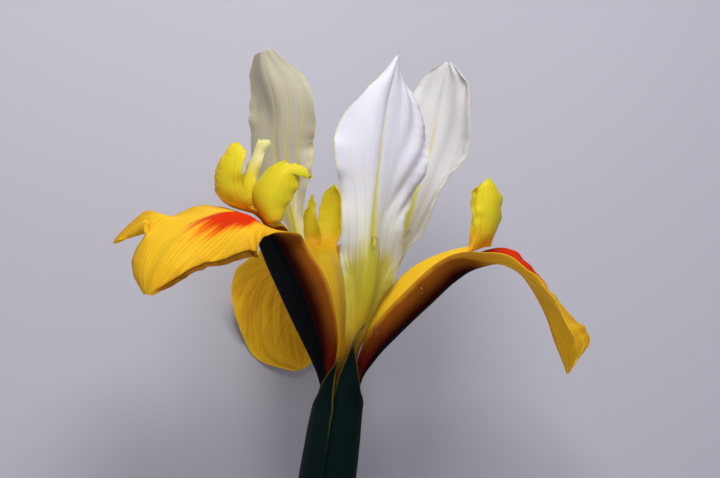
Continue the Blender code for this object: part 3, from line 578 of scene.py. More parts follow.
def stamen_path(fall, style):
    """A line midway between the claw of a fall and the style arm above it."""
    shares = np.linspace(0, STAMEN_LENGTH_SHARE, 9)
    claw, _, _ = line_at(fall["line"], 0.5 * shares)
    arm, _, _ = line_at(style["line"], shares)
    return claw * (1 - STAMEN_SHARE) + arm * STAMEN_SHARE


# Shape detail that the fine sheets add


def ripple(at, seed, waves=5):
    """A smooth random line about zero, the same on each run."""
    random = np.random.default_rng(seed)
    counts = random.uniform(0.6, 1.6, waves) * 1.7 ** np.arange(waves)
    phases = random.uniform(0, 2 * pi, waves)
    sizes = 1.3 ** -np.arange(waves)
    return sum(s * np.sin(2 * pi * c * at + p) for s, c, p in zip(sizes, counts, phases))


def margins(v, at, seed):
    """A ripple of its own for either side of a sheet."""
    return np.where(v < 0, ripple(at, seed), ripple(at, seed + 1))


def eased(value, low, high):
    t = np.clip((value - low) / (high - low), 0, 1)
    return t * t * (3 - 2 * t)


def grid_normals(grid):
    return unit(np.cross(np.gradient(grid, axis=0), np.gradient(grid, axis=1)))


def fan(u, v, half_width, start, spread, least=0.05):
    """The veins' own coordinate: lines of the same value run together up to start, then part towards the
    margins. The second result is how many millimetres one unit of it spans."""
    share = least + (1 - least) * np.clip((u - start) / (1 - start), 0, 1)
    opening = share ** spread
    return v / opening, half_width * opening


def thinned(thick, edge, reach, least):
    """A thickness that falls to its least share over a reach from the edge."""
    return thick * (least + (1 - least) * eased(edge, 0, reach))


def places(grid, shares):
    """The share along a sheet and the place from -1 to 1 across it, for each of its points, and the sheet's
    half width at each row."""
    u, v = np.meshgrid(shares, np.linspace(-1, 1, grid.shape[1]), indexing="ij")
    return u, v, np.linalg.norm(np.diff(grid, axis=1), axis=2).sum(axis=1)[:, None] / 2


def as_sheet(grid, u, v, spacing, edge, thick, tone, lines=None):
    """A grid with its thickness, its distance from the margin and the pairs of numbers that colour it."""
    pairs = {"blade": (u, v), "fan": (v if lines is None else lines, spacing), "tone": tone}
    sheet = {key: np.stack(np.broadcast_arrays(*pair, u)[:2], -1) for key, pair in pairs.items() if pair}
    return sheet | {"grid": grid, "edge": edge, "thick": np.broadcast_to(thick, u.shape)}


def petal_sheet(name):
    """A petal's fine grid with its layers."""
    petal = PETALS[name]
    detail = DETAILS[name]
    grid = petal_grid(petal, FINE_ROWS, FINE_HALF_COLUMNS)
    u, v, width = places(grid, row_shares(FINE_ROWS))
    length = line_at(petal["line"], [0, 1])[2]
    lines, spacing = fan(u, v, width, detail["fan_start"], detail["fan_spread"])
    normal = grid_normals(grid)
    sideways = unit(np.gradient(grid, axis=1))
    seed = detail["seed"]
    # Crenate margins
    rim = np.abs(v) ** 8
    blade = eased(u, detail["fan_start"], detail["fan_start"] + 0.1)
    nick = margins(v, u * length / NICK_SPACING, seed) * detail["nicks"]
    grid = grid + sideways * (np.sign(v) * rim * blade * nick * np.minimum(1, width / 4))[..., None]
    # Pleats along the veins, deeper towards the margins
    pleat = np.cos(2 * pi * lines * detail["pleats"] + 1.5 * ripple(u, seed + 2))
    room = eased(spacing / detail["pleats"], 1.2, 3.5)
    height = detail["pleat_height"] * pleat * room * blade * (0.15 + 0.85 * np.abs(v) ** 1.5)
    # A frill at the margin and a gentle unevenness all over
    frill = margins(v, u * length / FRILL_SPACING, seed + 3)
    room = blade * np.minimum(1, width / 5)
    height = height + detail["frill"] * frill * np.abs(v) ** 4 * room
    height = height + detail["uneven"] * ripple(1.1 * u + 0.3 * v, seed + 5, 3) * room
    # Soft folds that run along the petal
    height = height + detail["folds"] * ripple(0.5 * v + 0.3 * u, seed + 6, 3) * room
    # Slanting creases towards one margin
    crease = np.sin(2 * pi * (5.5 * u - 2.4 * v) + ripple(u, seed + 7, 2)) * eased(v, 0.2, 0.75)
    height = height + detail["creases"] * crease * eased(u, 0.5, 0.62) * room
    # A raised midrib
    rib = np.exp(-((v * width / 0.7) ** 2)) * detail["rib"]
    grid = grid + normal * (height + rib)[..., None]
    keel = 1 - np.abs(v)
    claw = np.clip((detail["claw_end"] - u) / 0.15, 0, 1) * np.clip(u / 0.12, 0, 1)
    thick = FINE_THICK + (FINE_KEEL_THICK - FINE_THICK) * claw * keel
    edge = (1 - np.abs(v)) * width
    thick = thinned(thick, edge, 1.0, 0.35)
    # The lip's weight also goes to the tone layer, where it darkens the lip's band with painted shade
    lip_and_painted_shade = np.zeros_like(u)
    if "lip_and_painted_shade" in detail:
        lip_side, start, end, lip_height = detail["lip_and_painted_shade"]
        lip_and_painted_shade = eased(-edge, -1.6, -1.1) * (v * lip_side > 0)
        lip_and_painted_shade = lip_and_painted_shade * eased(u, start, start + 0.06) * eased(-u, -end, -end + 0.1)
        grid = grid + normal * (lip_and_painted_shade * lip_height)[..., None]
    sheet = as_sheet(grid, u, v, spacing, edge, thick, (lip_and_painted_shade, detail["painted_shade"]), lines)
    if "signal" in detail:
        start, end, middle, half = detail["signal"]
        sheet["signal"] = np.stack([(u - start) / (end - start), (v - middle) / half], -1)
    return sheet


def style_sheets(name):
    """The fine grids of a style arm and of its crests."""
    style = STYLES[name]
    half = FINE_STYLE_HALF_COLUMNS
    grid = arm_grid(style, FINE_ARM_ROWS, half)
    u, v, width = places(grid, row_shares(FINE_ARM_ROWS))
    sheets = [as_sheet(grid, u, v, width, (1 - np.abs(v)) * width, STYLE_THICK, (0, 0))]
    for number, crest in enumerate(style["crests"]):
        grid = crest_grid(style, crest, FINE_CREST_ROWS, half)
        up, v, width = places(grid, row_shares(FINE_CREST_ROWS, 0.5))
        normal = grid_normals(grid)
        sideways = unit(np.gradient(grid, axis=1))
        seed = 40 * number + int(style["azimuth"])
        free = eased(up, 0.15, 0.5)
        nick = margins(v, 0.6 * up, seed)
        grid = grid + sideways * (np.sign(v) * np.abs(v) ** 8 * free * nick * CREST_NICKS)[..., None]
        frill = margins(v, 0.45 * up, seed + 2)
        pale, ruffled = CREST_LOOKS.get((name, number), (0.0, 0.0))
        ruffle = np.sin(2 * pi * (9 * up + 0.8 * v) + 1.5 * ripple(1.5 * up, seed + 4, 3))
        ruffle = ruffle * eased(-v, -0.4, 0.6) * ruffled
        height = CREST_FRILL * frill * np.abs(v) ** 3 + CREST_RUFFLE * ruffle
        grid = grid + normal * (height * free)[..., None]
        tips = ripple(0.9 * v, seed + 5, 4) * eased(up, 0.8, 1.0)
        grid = grid + np.array([0, 0, CREST_TOP]) * tips[..., None]
        tone = (pale * eased(up, 0.45, 0.8), ruffled * eased(-v, -0.2, 0.5))
        edge = np.minimum((1 - np.abs(v)) * width, 14 * (1 - up) + 0.2)
        sheets.append(as_sheet(grid, 1 + up, v, width, edge, STYLE_THICK, tone))
    for sheet in sheets:
        sheet["thick"] = thinned(sheet["thick"], sheet["edge"], 0.8, 0.4)
    return sheets


def bract_sheet(name):
    """A bract's fine grid, with the fine ribs of a leaf along it."""
    grid = bract_grid(BRACTS[name], FINE_BRACT_ROWS, FINE_BRACT_COLUMNS)
    u, v, width = places(grid, np.linspace(0, 1, FINE_BRACT_ROWS + 1))
    ribs = np.cos(2 * pi * v * BRACT_RIBS) * BRACT_RIB_HEIGHT * eased(width, 1.0, 5.0)
    grid = grid - grid_normals(grid) * ribs[..., None]
    edge = (1 - np.abs(v)) * width
    thick = thinned(thinned(BRACT_FINE_THICK, edge, 1.2, 0.4), 1 - u, 0.1, 0.6)
    return as_sheet(grid, u, v, width, edge, thick, ())


# From sheets to solids in the row frame


def turn_down():
    """The turn that lays the flower on its back: rows are the row frame's axes seen in the flower's frame."""
    rise = radians(HEAD_RISE)
    out = np.array([cos(radians(DOWN_AZIMUTH)), sin(radians(DOWN_AZIMUTH)), 0.0])
    axis = np.array([0.0, 0.0, 1.0])
    down = cos(rise) * out - sin(rise) * axis
    along = sin(rise) * out + cos(rise) * axis
    return np.array([np.cross(along, -down), along, -down])


TURN = turn_down()
packed_stem = tube_rings(STEM_LINE, STEM_WIDTHS, STEM_ROWS, STEM_SIDES, STEM_LOBES).reshape(-1, 3)
OFFSET = np.array(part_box("stem")[0]) - (packed_stem @ TURN.T * MM).min(axis=0)


def to_row(points):
    """Points of the flower's frame, in millimetres, as points of the row frame, in metres."""
    return np.asarray(points) @ TURN.T * MM + OFFSET


def solid_sheet(name, sheets):
    """One closed thin solid through the sheets. Points that two sheets share become one."""

    def joined(key, *size):
        return np.concatenate([sheet[key].reshape(-1, *size) for sheet in sheets])

    points = joined("grid", 3)
    corner = []
    start = 0
    for sheet in sheets:
        rows, columns = sheet["grid"].shape[:2]
        number = start + np.arange(rows * columns).reshape(rows, columns)
        low, high = number[:-1], number[1:]
        corner.append(np.stack([low[:, :-1], high[:, :-1], high[:, 1:], low[:, 1:]], -1).reshape(-1, 4))
        start += rows * columns
    corner = np.concatenate(corner)
    _, first, merged = np.unique(np.round(points, 4), axis=0, return_index=True, return_inverse=True)
    merged = merged.ravel()
    faces = merged[corner]
    points = points[first]
    thick = np.bincount(merged, joined("thick")) / np.bincount(merged)
    a, b, c, d = points[faces.T]
    face_normal = np.cross(c - a, d - b)
    normal = np.zeros_like(points)
    for corners in faces.T:
        np.add.at(normal, corners, face_normal)
    shift = unit(normal) * thick[:, None] / 2
    count = len(points)
    starts = faces.ravel()
    ends = np.roll(faces, -1, axis=1).ravel()
    keys = starts.astype(np.int64) * count + ends
    open_edges = np.flatnonzero(~np.isin(keys, ends.astype(np.int64) * count + starts))
    after = open_edges - open_edges % 4 + (open_edges + 1) % 4
    first, last = ends[open_edges], starts[open_edges]
    rim = np.stack([first, last, last + count, first + count], -1)
    polygons = np.concatenate([faces, faces[:, ::-1] + count, rim])
    layers = {}
    for layer in [key for key in ("blade", "fan", "tone", "signal") if key in sheets[0]]:
        value = joined(layer, 2)[corner]
        flat = value.reshape(-1, 2)
        edges = np.stack([flat[after], flat[open_edges], flat[open_edges], flat[after]], 1)
        layers[layer] = np.concatenate([value, value[:, ::-1], edges])
    depth = joined("edge")[corner]
    layers["side"] = np.concatenate([
        np.stack([np.ones_like(depth), depth], -1),
        np.stack([np.zeros_like(depth), depth[:, ::-1]], -1),
        np.stack([np.full(rim.shape, 0.5), np.zeros(rim.shape)], -1),
    ])
    mesh = bpy.data.meshes.new(name)
    mesh.from_pydata(to_row(np.concatenate([points + shift, points - shift])), [], polygons)
    for layer, value in layers.items():
        made = mesh.uv_layers.new(name=layer)
        made.uv.foreach_set("vector", value.reshape(-1).astype(np.float32))
    mesh.shade_smooth()
    mesh.set_sharp_from_angle(angle=radians(SHEET_SHARP))
    return link(name, mesh)


def link(name, data):
    made = bpy.data.objects.new(name, data)
    bpy.context.scene.collection.objects.link(made)
    return made


def finish_piece(made, surface, slot, *nodes):
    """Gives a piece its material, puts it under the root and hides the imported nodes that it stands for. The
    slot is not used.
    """
    made.data.materials.append(surface)
    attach(made, "root")
    if nodes:
        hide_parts(*nodes)


# Materials


class Value:
    """A number or colour that a node gives. Arithmetic with it adds nodes."""

    def __init__(self, surface, socket):
        self.surface = surface
        self.socket = socket

    def math(self, operation, *others):
        return self.surface.node("ShaderNodeMath", (self, *others), operation=operation)

    __add__ = partialmethod(math, "ADD")
    __sub__ = partialmethod(math, "SUBTRACT")
    __mul__ = partialmethod(math, "MULTIPLY")
    __truediv__ = partialmethod(math, "DIVIDE")
    __abs__ = partialmethod(math, "ABSOLUTE")
    most = partialmethod(math, "MAXIMUM")
    fold = partialmethod(math, "PINGPONG")
    sine = partialmethod(math, "SINE")

    def ease(self, low, high):
        """0 up to low, 1 from high on, and smooth between."""
        feeds = {"Value": self, "From Min": low, "From Max": high}
        return self.surface.node("ShaderNodeMapRange", feeds, interpolation_type="SMOOTHSTEP")

    def fade(self, low, high):
        """1 up to low, 0 from high on."""
        return self.surface.node("ShaderNodeMath", (1.0, self.ease(low, high)), operation="SUBTRACT")


class Surface:
    """A material's node tree, written as expressions."""

    def __init__(self, name):
        self.material = bpy.data.materials.new(name)
        self.material.use_nodes = True
        self.tree = self.material.node_tree
        self.shader = self.tree.nodes["Principled BSDF"]

    def feed(self, node, feeds):
        """Values or constants into a node's first inputs or, from a dictionary, into those it names."""
        for key, value in feeds.items() if isinstance(feeds, dict) else enumerate(feeds):
            socket = node.inputs[key]
            if isinstance(value, Value):
                self.tree.links.new(value.socket, socket)
            else:
                socket.default_value = (*value, 1) if socket.type == "RGBA" else value

    def node(self, kind, feeds=(), output=0, **settings):
        made = self.tree.nodes.new(kind)
        for key, value in settings.items():
            setattr(made, key, value)
        self.feed(made, feeds)
        return Value(self, made.outputs[output])

    def mix(self, share, a, b):
        return self.node("ShaderNodeMix", {0: share, 6: a, 7: b}, 2, data_type="RGBA")

    def paint(self, colour, *coats):
        """A colour under coats of others, each of them a share and a colour."""
        for share, coat in coats:
            colour = self.mix(share, colour, coat)
        return colour

    def layer(self, name):
        """Both numbers of a UV layer."""
        parts = self.node("ShaderNodeSeparateXYZ", [self.node("ShaderNodeUVMap", uv_map=name)])
        return parts, Value(self, parts.socket.node.outputs[1])

    def place(self, *numbers):
        return self.node("ShaderNodeCombineXYZ", numbers)

    def everywhere(self):
        return self.node("ShaderNodeTexCoord", output="Object")

    def noise(self, where, scale, detail=2.0):
        """A noise between about 0 and 1, over a place or, with None, over the object."""
        where = where or self.everywhere()
        return self.node("ShaderNodeTexNoise", {"Vector": where, "Scale": scale, "Detail": detail})

    def lines(self, across, spacing, count, thick):
        """Lines of a thickness in millimetres, count of them to each unit of across, which spans spacing."""
        gap = (across * count).fold(0.5) * (spacing / count)
        return gap.fade(0.25 * thick, thick)

    def veins(self, across, spacing, first, octaves, thick, pitch, seed):
        """Veins that fork as they part: each octave doubles their number where they lie a pitch apart."""
        swayed = across + (self.noise(self.place(across, seed), 2.0, 3.0) - 0.5) * 0.06
        found = None
        for octave in range(octaves):
            count = first * 2.0 ** octave
            made = self.lines(swayed, spacing, count, thick)
            room = (spacing / count).ease(pitch, 1.6 * pitch)
            strength = self.noise(self.place(across * count, seed + octave), 0.9, 1.0)
            made = made * room * strength.ease(0.25, 0.6)
            found = found.most(made) if found else made
        return found

    def bump(self, height, depth, cells=0.0):
        """Relief of a height in depths, in millimetres, with the petals' fine cells over it."""
        if cells:
            height = height + self.noise(None, 2600.0, 1.0) * cells
        made = self.node("ShaderNodeBump", {"Distance": depth * MM, "Height": height})
        self.feed(self.shader, {"Normal": made})

    def finish(self, colour, roughness, **constants):
        constants = {key.replace("_", " "): value for key, value in constants.items()}
        self.feed(self.shader, {"Base Color": colour, "Roughness": roughness} | constants)
        return self.material


def fall_surface():
    """Golden blade with fine veins and an orange-red signal at its haft. Painted shade darkens the claw's
    underside to near black along its keel, and darkens a band along the margins and the lip. The layer's
    first number is 0.5 at the haft."""
    s = Surface("fall_gold")
    u, v = s.layer("blade")
    lines, spacing = s.layer("fan")
    face, depth = s.layer("side")
    lip_and_painted_shade, _ = s.layer("tone")
    along, aside = s.layer("signal")
    across = abs(v)
    veins = s.veins(lines, spacing, 2.0, 5, 0.2, 0.55, 3.0)
    mottle = s.noise(None, 180.0, 3.0)
    streak = s.noise(s.place(lines * 3.0, u * 1.5), 2.0, 3.0)
    reach = along + (streak - 0.5) * 0.7
    wide = abs(aside) + (streak - 0.5) * 0.8
    signal = reach.fade(0.45, 1.15) * wide.fade(0.35, 1.35) * u.ease(0.46, 0.51)
    upper = s.paint(
        s.mix(mottle, (0.80, 0.45, 0.016), (0.88, 0.55, 0.026)),
        (veins * 0.28, (0.62, 0.26, 0.008)),
        (streak.ease(0.45, 0.75) * 0.25, (0.84, 0.36, 0.012)),
        # Painted shade: a darker band along the margins, where they roll under
        (depth.fade(0.2, 1.8) * 0.4, (0.58, 0.33, 0.015)),
        (depth.fade(0.5, 6.0) * streak.ease(0.3, 0.6) * 0.6, (0.52, 0.25, 0.010)),
        (signal.ease(0.02, 0.40), (0.88, 0.26, 0.010)),
        (signal.ease(0.20, 0.70), (0.62, 0.030, 0.003)),
    )
    waves = s.noise(s.place(u * 26.0 + across * -7.0, across * 1.5), 1.5, 2.0)
    under = s.paint(
        s.mix(mottle, (0.80, 0.43, 0.016), (0.96, 0.60, 0.026)),
        (veins * 0.22, (0.42, 0.15, 0.006)),
        (streak.ease(0.35, 0.65) * depth.ease(0.5, 2.5) * 0.3, (0.50, 0.19, 0.007)),
        (streak.ease(0.30, 0.70) * depth.ease(4.0, 10.0) * 0.3, (0.40, 0.13, 0.005)),
        (waves.ease(0.42, 0.66) * depth.ease(0.2, 1.0) * 0.3, (0.50, 0.19, 0.007)),
        (depth.fade(0.2, 0.9) * 0.5, (0.80, 0.52, 0.03)),
    )
    # Painted shade on the claw's underside: near black along the keel, through maroon and brown to gold at
    # its sides, darker still at its foot
    soft = (s.noise(None, 260.0, 4.0) - 0.5) * 0.10
    zone = across + soft + u.ease(0.45, 0.58) * 0.5
    claw = s.paint(
        s.mix(zone.ease(0.36, 0.50), (0.0001, 0.0012, 0.0022), (0.024, 0.0008, 0.0008)),
        (zone.ease(0.46, 0.86), (0.25, 0.070, 0.005)),
        (zone.ease(0.86, 1.02), (0.56, 0.27, 0.020)),
        (u.fade(0.10, 0.24) * zone.ease(0.4, 0.6), (0.10, 0.006, 0.003)),
    )
    under = s.mix(u.ease(0.50, 0.62), claw, under)
    # Painted shade darkens the band of the lip
    colour = s.paint(s.mix(face.ease(0.6, 0.9), under, upper), (lip_and_painted_shade.ease(0.05, 0.4), (0.22, 0.09, 0.006)))
    s.bump(veins * -0.7, 0.06, 0.3)
    return s.finish(colour, 0.5, Subsurface_Weight=0.25, Subsurface_Scale=0.0012, Specular_IOR_Level=0.03)


def standard_surface():
    """White with a lavender cast, yellow ribs that run up from an olive-yellow foot, and fine pale veins.
    Painted shade darkens the very foot, and greys a shaded standard towards olive.
    """
    s = Surface("standard_white")
    u, v = s.layer("blade")
    lines, spacing = s.layer("fan")
    _, depth = s.layer("side")
    _, painted_shade = s.layer("tone")
    veins = s.veins(lines, spacing, 2.0, 5, 0.16, 0.5, 7.0)
    mottle = s.noise(None, 140.0, 3.0)
    near = abs(lines)
    middle = (near * spacing).fade(0.05, u.fade(0.40, 0.66) * 2.0 + 0.6)
    ribs = s.lines(lines, spacing, 2.5, 0.40) * near.fade(0.9, 1.7)
    fading = u.fade(0.35, 0.90) * 0.4 + u.fade(0.75, 1.0) * painted_shade * 0.45
    patches = (s.noise(s.place(lines * 2.0, u * 3.0), 3.0) - 0.5) * 0.18
    reach = u + patches + abs(v) * 0.06
    colour = s.paint(
        s.mix(mottle, (0.70, 0.71, 0.80), (0.80, 0.80, 0.87)),
        # Painted shade: a standard that lies in shade is greyed towards olive from mid length up
        (painted_shade * u.ease(0.40, 0.72) * 0.75, s.mix(mottle, (0.42, 0.41, 0.20), (0.50, 0.49, 0.32))),
        (veins * 0.10, (0.60, 0.60, 0.60)),
        (ribs * fading, (0.64, 0.58, 0.05)),
        (middle * u.fade(0.50, 0.98) * 0.95, (0.70, 0.64, 0.03)),
        (reach.fade(0.38, 0.74) * 0.42, (0.68, 0.66, 0.20)),
        (reach.fade(0.42, 0.51) * 0.92, (0.58, 0.52, 0.030)),
        (reach.fade(0.24, 0.42) * 0.7, (0.58, 0.36, 0.014)),
        (reach.fade(0.15, 0.29) * 0.75, (0.33, 0.14, 0.008)),
        # Painted shade: dark red-brown to near black at the very foot, deep in the flower's heart
        (u.fade(0.12, 0.24) * 0.8, (0.22, 0.06, 0.008)),
        (u.fade(0.09, 0.15), (0.07, 0.012, 0.004)),
        (depth.fade(0.1, 0.5) * u.ease(0.30, 0.45) * 0.5, (0.66, 0.64, 0.30)),
    )
    wrinkles = s.noise(s.place(lines * 9.0, u * 5.0), 2.0, 2.0)
    s.bump(veins.most(ribs) * -0.4 + wrinkles * (abs(v) * 1.2 + 0.4), 0.035, 0.3)
    return s.finish(colour, 0.6, Subsurface_Weight=0.3, Subsurface_Scale=0.0015, Specular_IOR_Level=0.06)


def style_surface():
    """Golden arm, lemon crests with fine curved veins, and orange where the crests part; painted shade
    darkens the arm's foot.
    """
    s = Surface("style_lemon")
    u, _ = s.layer("blade")
    lines, spacing = s.layer("fan")
    _, depth = s.layer("side")
    pale, orange = s.layer("tone")
    veins = s.veins(lines, spacing, 3.0, 3, 0.13, 0.5, 11.0)
    mottle = s.noise(None, 200.0, 3.0)
    crest = s.mix(mottle, (0.66, 0.54, 0.014), (0.78, 0.67, 0.026))
    colour = s.paint(
        s.mix(mottle, (0.74, 0.42, 0.012), (0.84, 0.54, 0.018)),
        (u.ease(0.98, 1.5), crest),
        (u.ease(0.90, 1.02) * u.fade(1.02, 1.32) * 0.5, (0.90, 0.40, 0.014)),
        (orange * 0.75, (0.90, 0.52, 0.014)),
        (pale * 0.75, s.mix(veins, (0.78, 0.78, 0.46), (0.78, 0.70, 0.06))),
        (veins * 0.22, (0.52, 0.36, 0.012)),
        (depth.fade(0.1, 0.5) * u.ease(1.0, 1.2) * 0.25, (0.66, 0.44, 0.02)),
        # Painted shade: dark red-brown at the arm's foot, deep in the flower's heart
        (u.fade(0.14, 0.30), (0.16, 0.025, 0.006)),
    )
    s.bump(veins * -0.7, 0.05, 0.3)
    return s.finish(colour, 0.5, Subsurface_Weight=0.25, Subsurface_Scale=0.0012, Specular_IOR_Level=0.15)


def bract_surface(name, papery_from):
    """Blue-green leaf deepened to near black with painted shade, with fine ribs, a thin olive margin and a
    dry brown tip.
    """
    s = Surface(name)
    u, v = s.layer("blade")
    _, depth = s.layer("side")
    mottle = s.noise(None, 400.0, 4.0)
    ribs = (v * (BRACT_RIBS * 2 * pi)).sine()
    dry = s.mix(mottle, (0.07, 0.030, 0.012), (0.30, 0.20, 0.07))
    # The blue-green base is taken down to near black: painted shade
    colour = s.paint(
        s.mix(mottle, (0.0010, 0.0050, 0.0062), (0.0030, 0.0120, 0.0110)),
        (ribs.ease(0.6, 1.0) * 0.3, (0.006, 0.022, 0.014)),
        (depth.fade(0.10, 0.40) * u.ease(0.55, 0.85) * 0.8, (0.14, 0.13, 0.014)),
        (u.ease(papery_from - 0.05, papery_from + 0.03), dry),
    )
    s.bump(ribs * 0.5 + mottle, 0.05)
    return s.finish(colour, 0.5, Specular_IOR_Level=0.05)


def stem_surface():
    """Dark blue-green stem, a little lighter low down, with fine lengthwise lines."""
    s = Surface("stem_green")
    u, v = s.layer("blade")
    mottle = s.noise(None, 350.0, 4.0)
    lines = s.noise(s.place(v * 12.0, u * 2.0), 3.0, 2.0)
    light = s.mix(mottle, (0.020, 0.060, 0.018), (0.040, 0.095, 0.025))
    colour = s.paint(
        s.mix(mottle, (0.0035, 0.016, 0.010), (0.008, 0.032, 0.016)),
        (lines.ease(0.45, 0.7) * 0.35, (0.016, 0.050, 0.018)),
        (u.fade(0.0, 0.30), light),
    )
    s.bump(lines * 0.8 + mottle, 0.05)
    return s.finish(colour, 0.45, Specular_IOR_Level=0.25)


def cut_surface():
    """The pale, wet cut through the stem, with darker dots for its strands."""
    s = Surface("stem_cut")
    dots = s.node("ShaderNodeTexVoronoi", {"Vector": s.everywhere(), "Scale": 1500.0}, "Distance")
    return s.finish(s.mix(dots.fade(0.15, 0.4), (0.36, 0.42, 0.18), (0.16, 0.24, 0.07)), 0.3)


def stamen_surface():
    s = Surface("stamen_cream")
    u, _ = s.layer("blade")
    pollen = s.noise(None, 1800.0, 2.0)
    anther = s.mix(pollen, (0.62, 0.44, 0.16), (0.82, 0.70, 0.42))
    s.bump(pollen, 0.06)
    return s.finish(s.mix(u.ease(0.47, 0.52), (0.78, 0.66, 0.34), anther), 0.6)


def water_surface():
    s = Surface("water")
    return s.finish((0.95, 0.95, 0.86), 0.0, Transmission_Weight=1.0, IOR=1.33, Alpha=0.75)


# The pieces


def make_petals():
    surfaces = {"fall": fall_surface(), "standard": standard_surface()}
    for name in PETALS:
        sheet = petal_sheet(name)
        slot = name.split("_")[0]
        if slot == "fall":
            # The share of the length is stretched so that the haft lies at 0.5
            u = sheet["blade"][..., 0]
            u[:] = np.interp(u, [0, FALL_HAFT, 1], [0, 0.5, 1])
        finish_piece(solid_sheet(name + "_petal", [sheet]), surfaces[slot], slot, name)


def make_styles():
    lemon = style_surface()
    for name in STYLES:
        finish_piece(solid_sheet(name + "_arm", style_sheets(name)), lemon, "style", name)


def make_bracts():
    for name in BRACTS:
        surface = bract_surface(name + "_leaf", PAPERY_FROM[name])
        finish_piece(solid_sheet(name + "_bract", [bract_sheet(name)]), surface, "spathe", name)


def ring_faces(rows, sides):
    """Numbers of the points of a stack of rings, and the faces between the rings."""
    number = np.arange(rows * sides).reshape(rows, sides)
    low, high = number[:-1], number[1:]
    faces = np.stack([low, np.roll(low, -1, 1), np.roll(high, -1, 1), high], -1)
    return number, faces.reshape(-1, 4).tolist()


def tube_solid(name, rings, cap_material=False):
    """A closed tube through the rings, whose ends are flat."""
    rows, sides = rings.shape[:2]
    number, faces = ring_faces(rows, sides)
    faces += [number[0][::-1].tolist(), number[-1].tolist()]
    mesh = bpy.data.meshes.new(name)
    mesh.from_pydata(to_row(rings.reshape(-1, 3)), [], faces)
    layer = mesh.uv_layers.new(name="blade")
    row = np.arange(rows - 1)[:, None, None] + np.array([0, 0, 1, 1])
    column = np.arange(sides)[None, :, None] + np.array([0, 1, 1, 0])
    row, column = np.broadcast_arrays(row, column)
    sides_uv = np.stack([row / (rows - 1), column / sides], -1).reshape(-1)
    ends_uv = np.zeros(4 * sides)
    layer.uv.foreach_set("vector", np.r_[sides_uv, ends_uv].astype(np.float32))
    mesh.shade_smooth()
    mesh.set_sharp_from_angle(angle=radians(TUBE_SHARP))
    if cap_material:
        mesh.polygons[len(faces) - 2].material_index = 1
    return link(name, mesh)


def make_stem():
    rings = tube_rings(STEM_LINE, STEM_WIDTHS, FINE_STEM_ROWS, FINE_STEM_SIDES, STEM_LOBES)
    stem = tube_solid("stem_stalk", rings, cap_material=True)
    finish_piece(stem, stem_surface(), "stem", "stem")
    stem.data.materials.append(cut_surface())


def make_stamens():
    cream = stamen_surface()
    for side in ("right", "left", "back"):
        fall = PETALS["fall_" + side]
        path = stamen_path(fall, STYLES["style_" + side])
        rings = tube_rings(path, STAMEN_WIDTHS, FINE_STAMEN_ROWS, FINE_STAMEN_SIDES)
        rings = about_axis(rings, fall["azimuth"])
        finish_piece(tube_solid("stamen_" + side + "_anther", rings), cream, "stamen", "stamen_" + side)


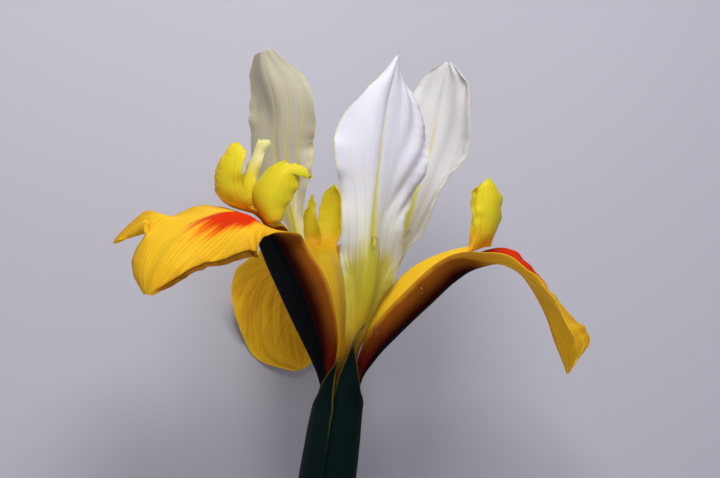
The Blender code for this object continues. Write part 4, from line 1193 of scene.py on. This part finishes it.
def make_drops():
    """Drops of water that cling to the petals and the spathe, each a flat dome."""
    lean = np.linspace(0, pi, DROP_RINGS + 2)[1:-1, None]
    turn = 2 * pi * np.arange(DROP_SIDES) / DROP_SIDES
    ball = [np.sin(lean) * np.cos(turn), np.sin(lean) * np.sin(turn), np.cos(lean) + 0 * turn]
    dome = np.concatenate([np.stack(ball, -1).reshape(-1, 3), [[0, 0, 1], [0, 0, -1]]])
    number, faces = ring_faces(DROP_RINGS, DROP_SIDES)
    faces = [face[::-1] for face in faces]
    for ring, top in ((number[0], number.size), (number[-1][::-1], number.size + 1)):
        faces += [[int(a), int(b), top] for a, b in zip(ring, np.roll(ring, -1))]
    points, polygons = [], []
    for name, part, along, across, side, radius in DROPS:
        if name in STYLES:
            sheet = style_sheets(name)[part]
        else:
            sheet = petal_sheet(name) if name in PETALS else bract_sheet(name)
        grid = sheet["grid"]
        row = round(along * (len(grid) - 1))
        column = round((across + 1) / 2 * (grid.shape[1] - 1))
        near = grid_normals(grid)[row - 3 : row + 4, max(column - 4, 0) : column + 5]
        up = unit(near.mean(axis=(0, 1))) * side
        spot = grid[row, column] + up * (sheet["thick"][row, column] / 2 + DROP_RAISE * radius)
        aside = unit(np.cross(up, [0.3, 0.2, 1.0]))
        flat_dome = dome * [radius, radius, DROP_HEIGHT * radius]
        polygons += [[corner + len(dome) * len(points) for corner in face] for face in faces]
        points.append(spot + flat_dome @ np.array([aside, np.cross(up, aside), up]))
    mesh = bpy.data.meshes.new("drops")
    mesh.from_pydata(to_row(np.concatenate(points)), [], polygons)
    mesh.shade_smooth()
    made = link("drops", mesh)
    made.data.materials.append(water_surface())
    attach(made, "root")


# Floor, light and camera


def make_floor():
    mesh = bpy.data.meshes.new("floor")
    corners = [(x * FLOOR_HALF, y * FLOOR_HALF, 0) for x, y in ((-1, -1), (1, -1), (1, 1), (-1, 1))]
    mesh.from_pydata(corners, [], [(0, 1, 2, 3)])
    mesh.materials.append(Surface("floor_pale").finish(FLOOR_COLOUR, 0.85))
    floor = link("floor", mesh)
    floor.location.z = -FLOOR_DROP


def make_light():
    """Round soft lights that face the flower's head, in a pale room."""
    world = bpy.data.worlds.new("studio")
    bpy.context.scene.world = world
    world.use_nodes = True
    background = world.node_tree.nodes["Background"]
    background.inputs["Color"].default_value = (*ROOM_COLOUR, 1)
    background.inputs["Strength"].default_value = ROOM_STRENGTH
    for name, place, size, power, colour in LIGHTS:
        data = bpy.data.lights.new(name, "AREA")
        data.shape = "DISK"
        data.size = size
        data.energy = power
        data.color = colour
        lamp = link(name, data)
        lamp.location = place
        lamp.rotation_euler = (Vector(LIT_PLACE) - Vector(place)).to_track_quat("-Z", "Y").to_euler()
    bpy.context.scene.view_settings.view_transform = "Standard"


def make_camera():
    """Looks at the flower square to its axis, from its front."""
    data = bpy.data.cameras.new("camera")
    data.sensor_width = 36.0
    data.lens = 36.0 * CAMERA_DISTANCE / VIEW_WIDTH
    data.clip_start = 0.01
    camera = link("camera", data)
    right, back, up = TURN.T * [[1], [-1], [1]]
    turn = Matrix(np.column_stack([right, up, back])).to_4x4()
    turn.translation = to_row([CAMERA_ASIDE, -CAMERA_DISTANCE, CAMERA_HEIGHT])
    camera.matrix_world = turn
    bpy.context.scene.camera = camera


make_camera()
make_petals()
make_styles()
make_bracts()
make_stem()
make_stamens()
make_drops()
make_floor()
make_light()
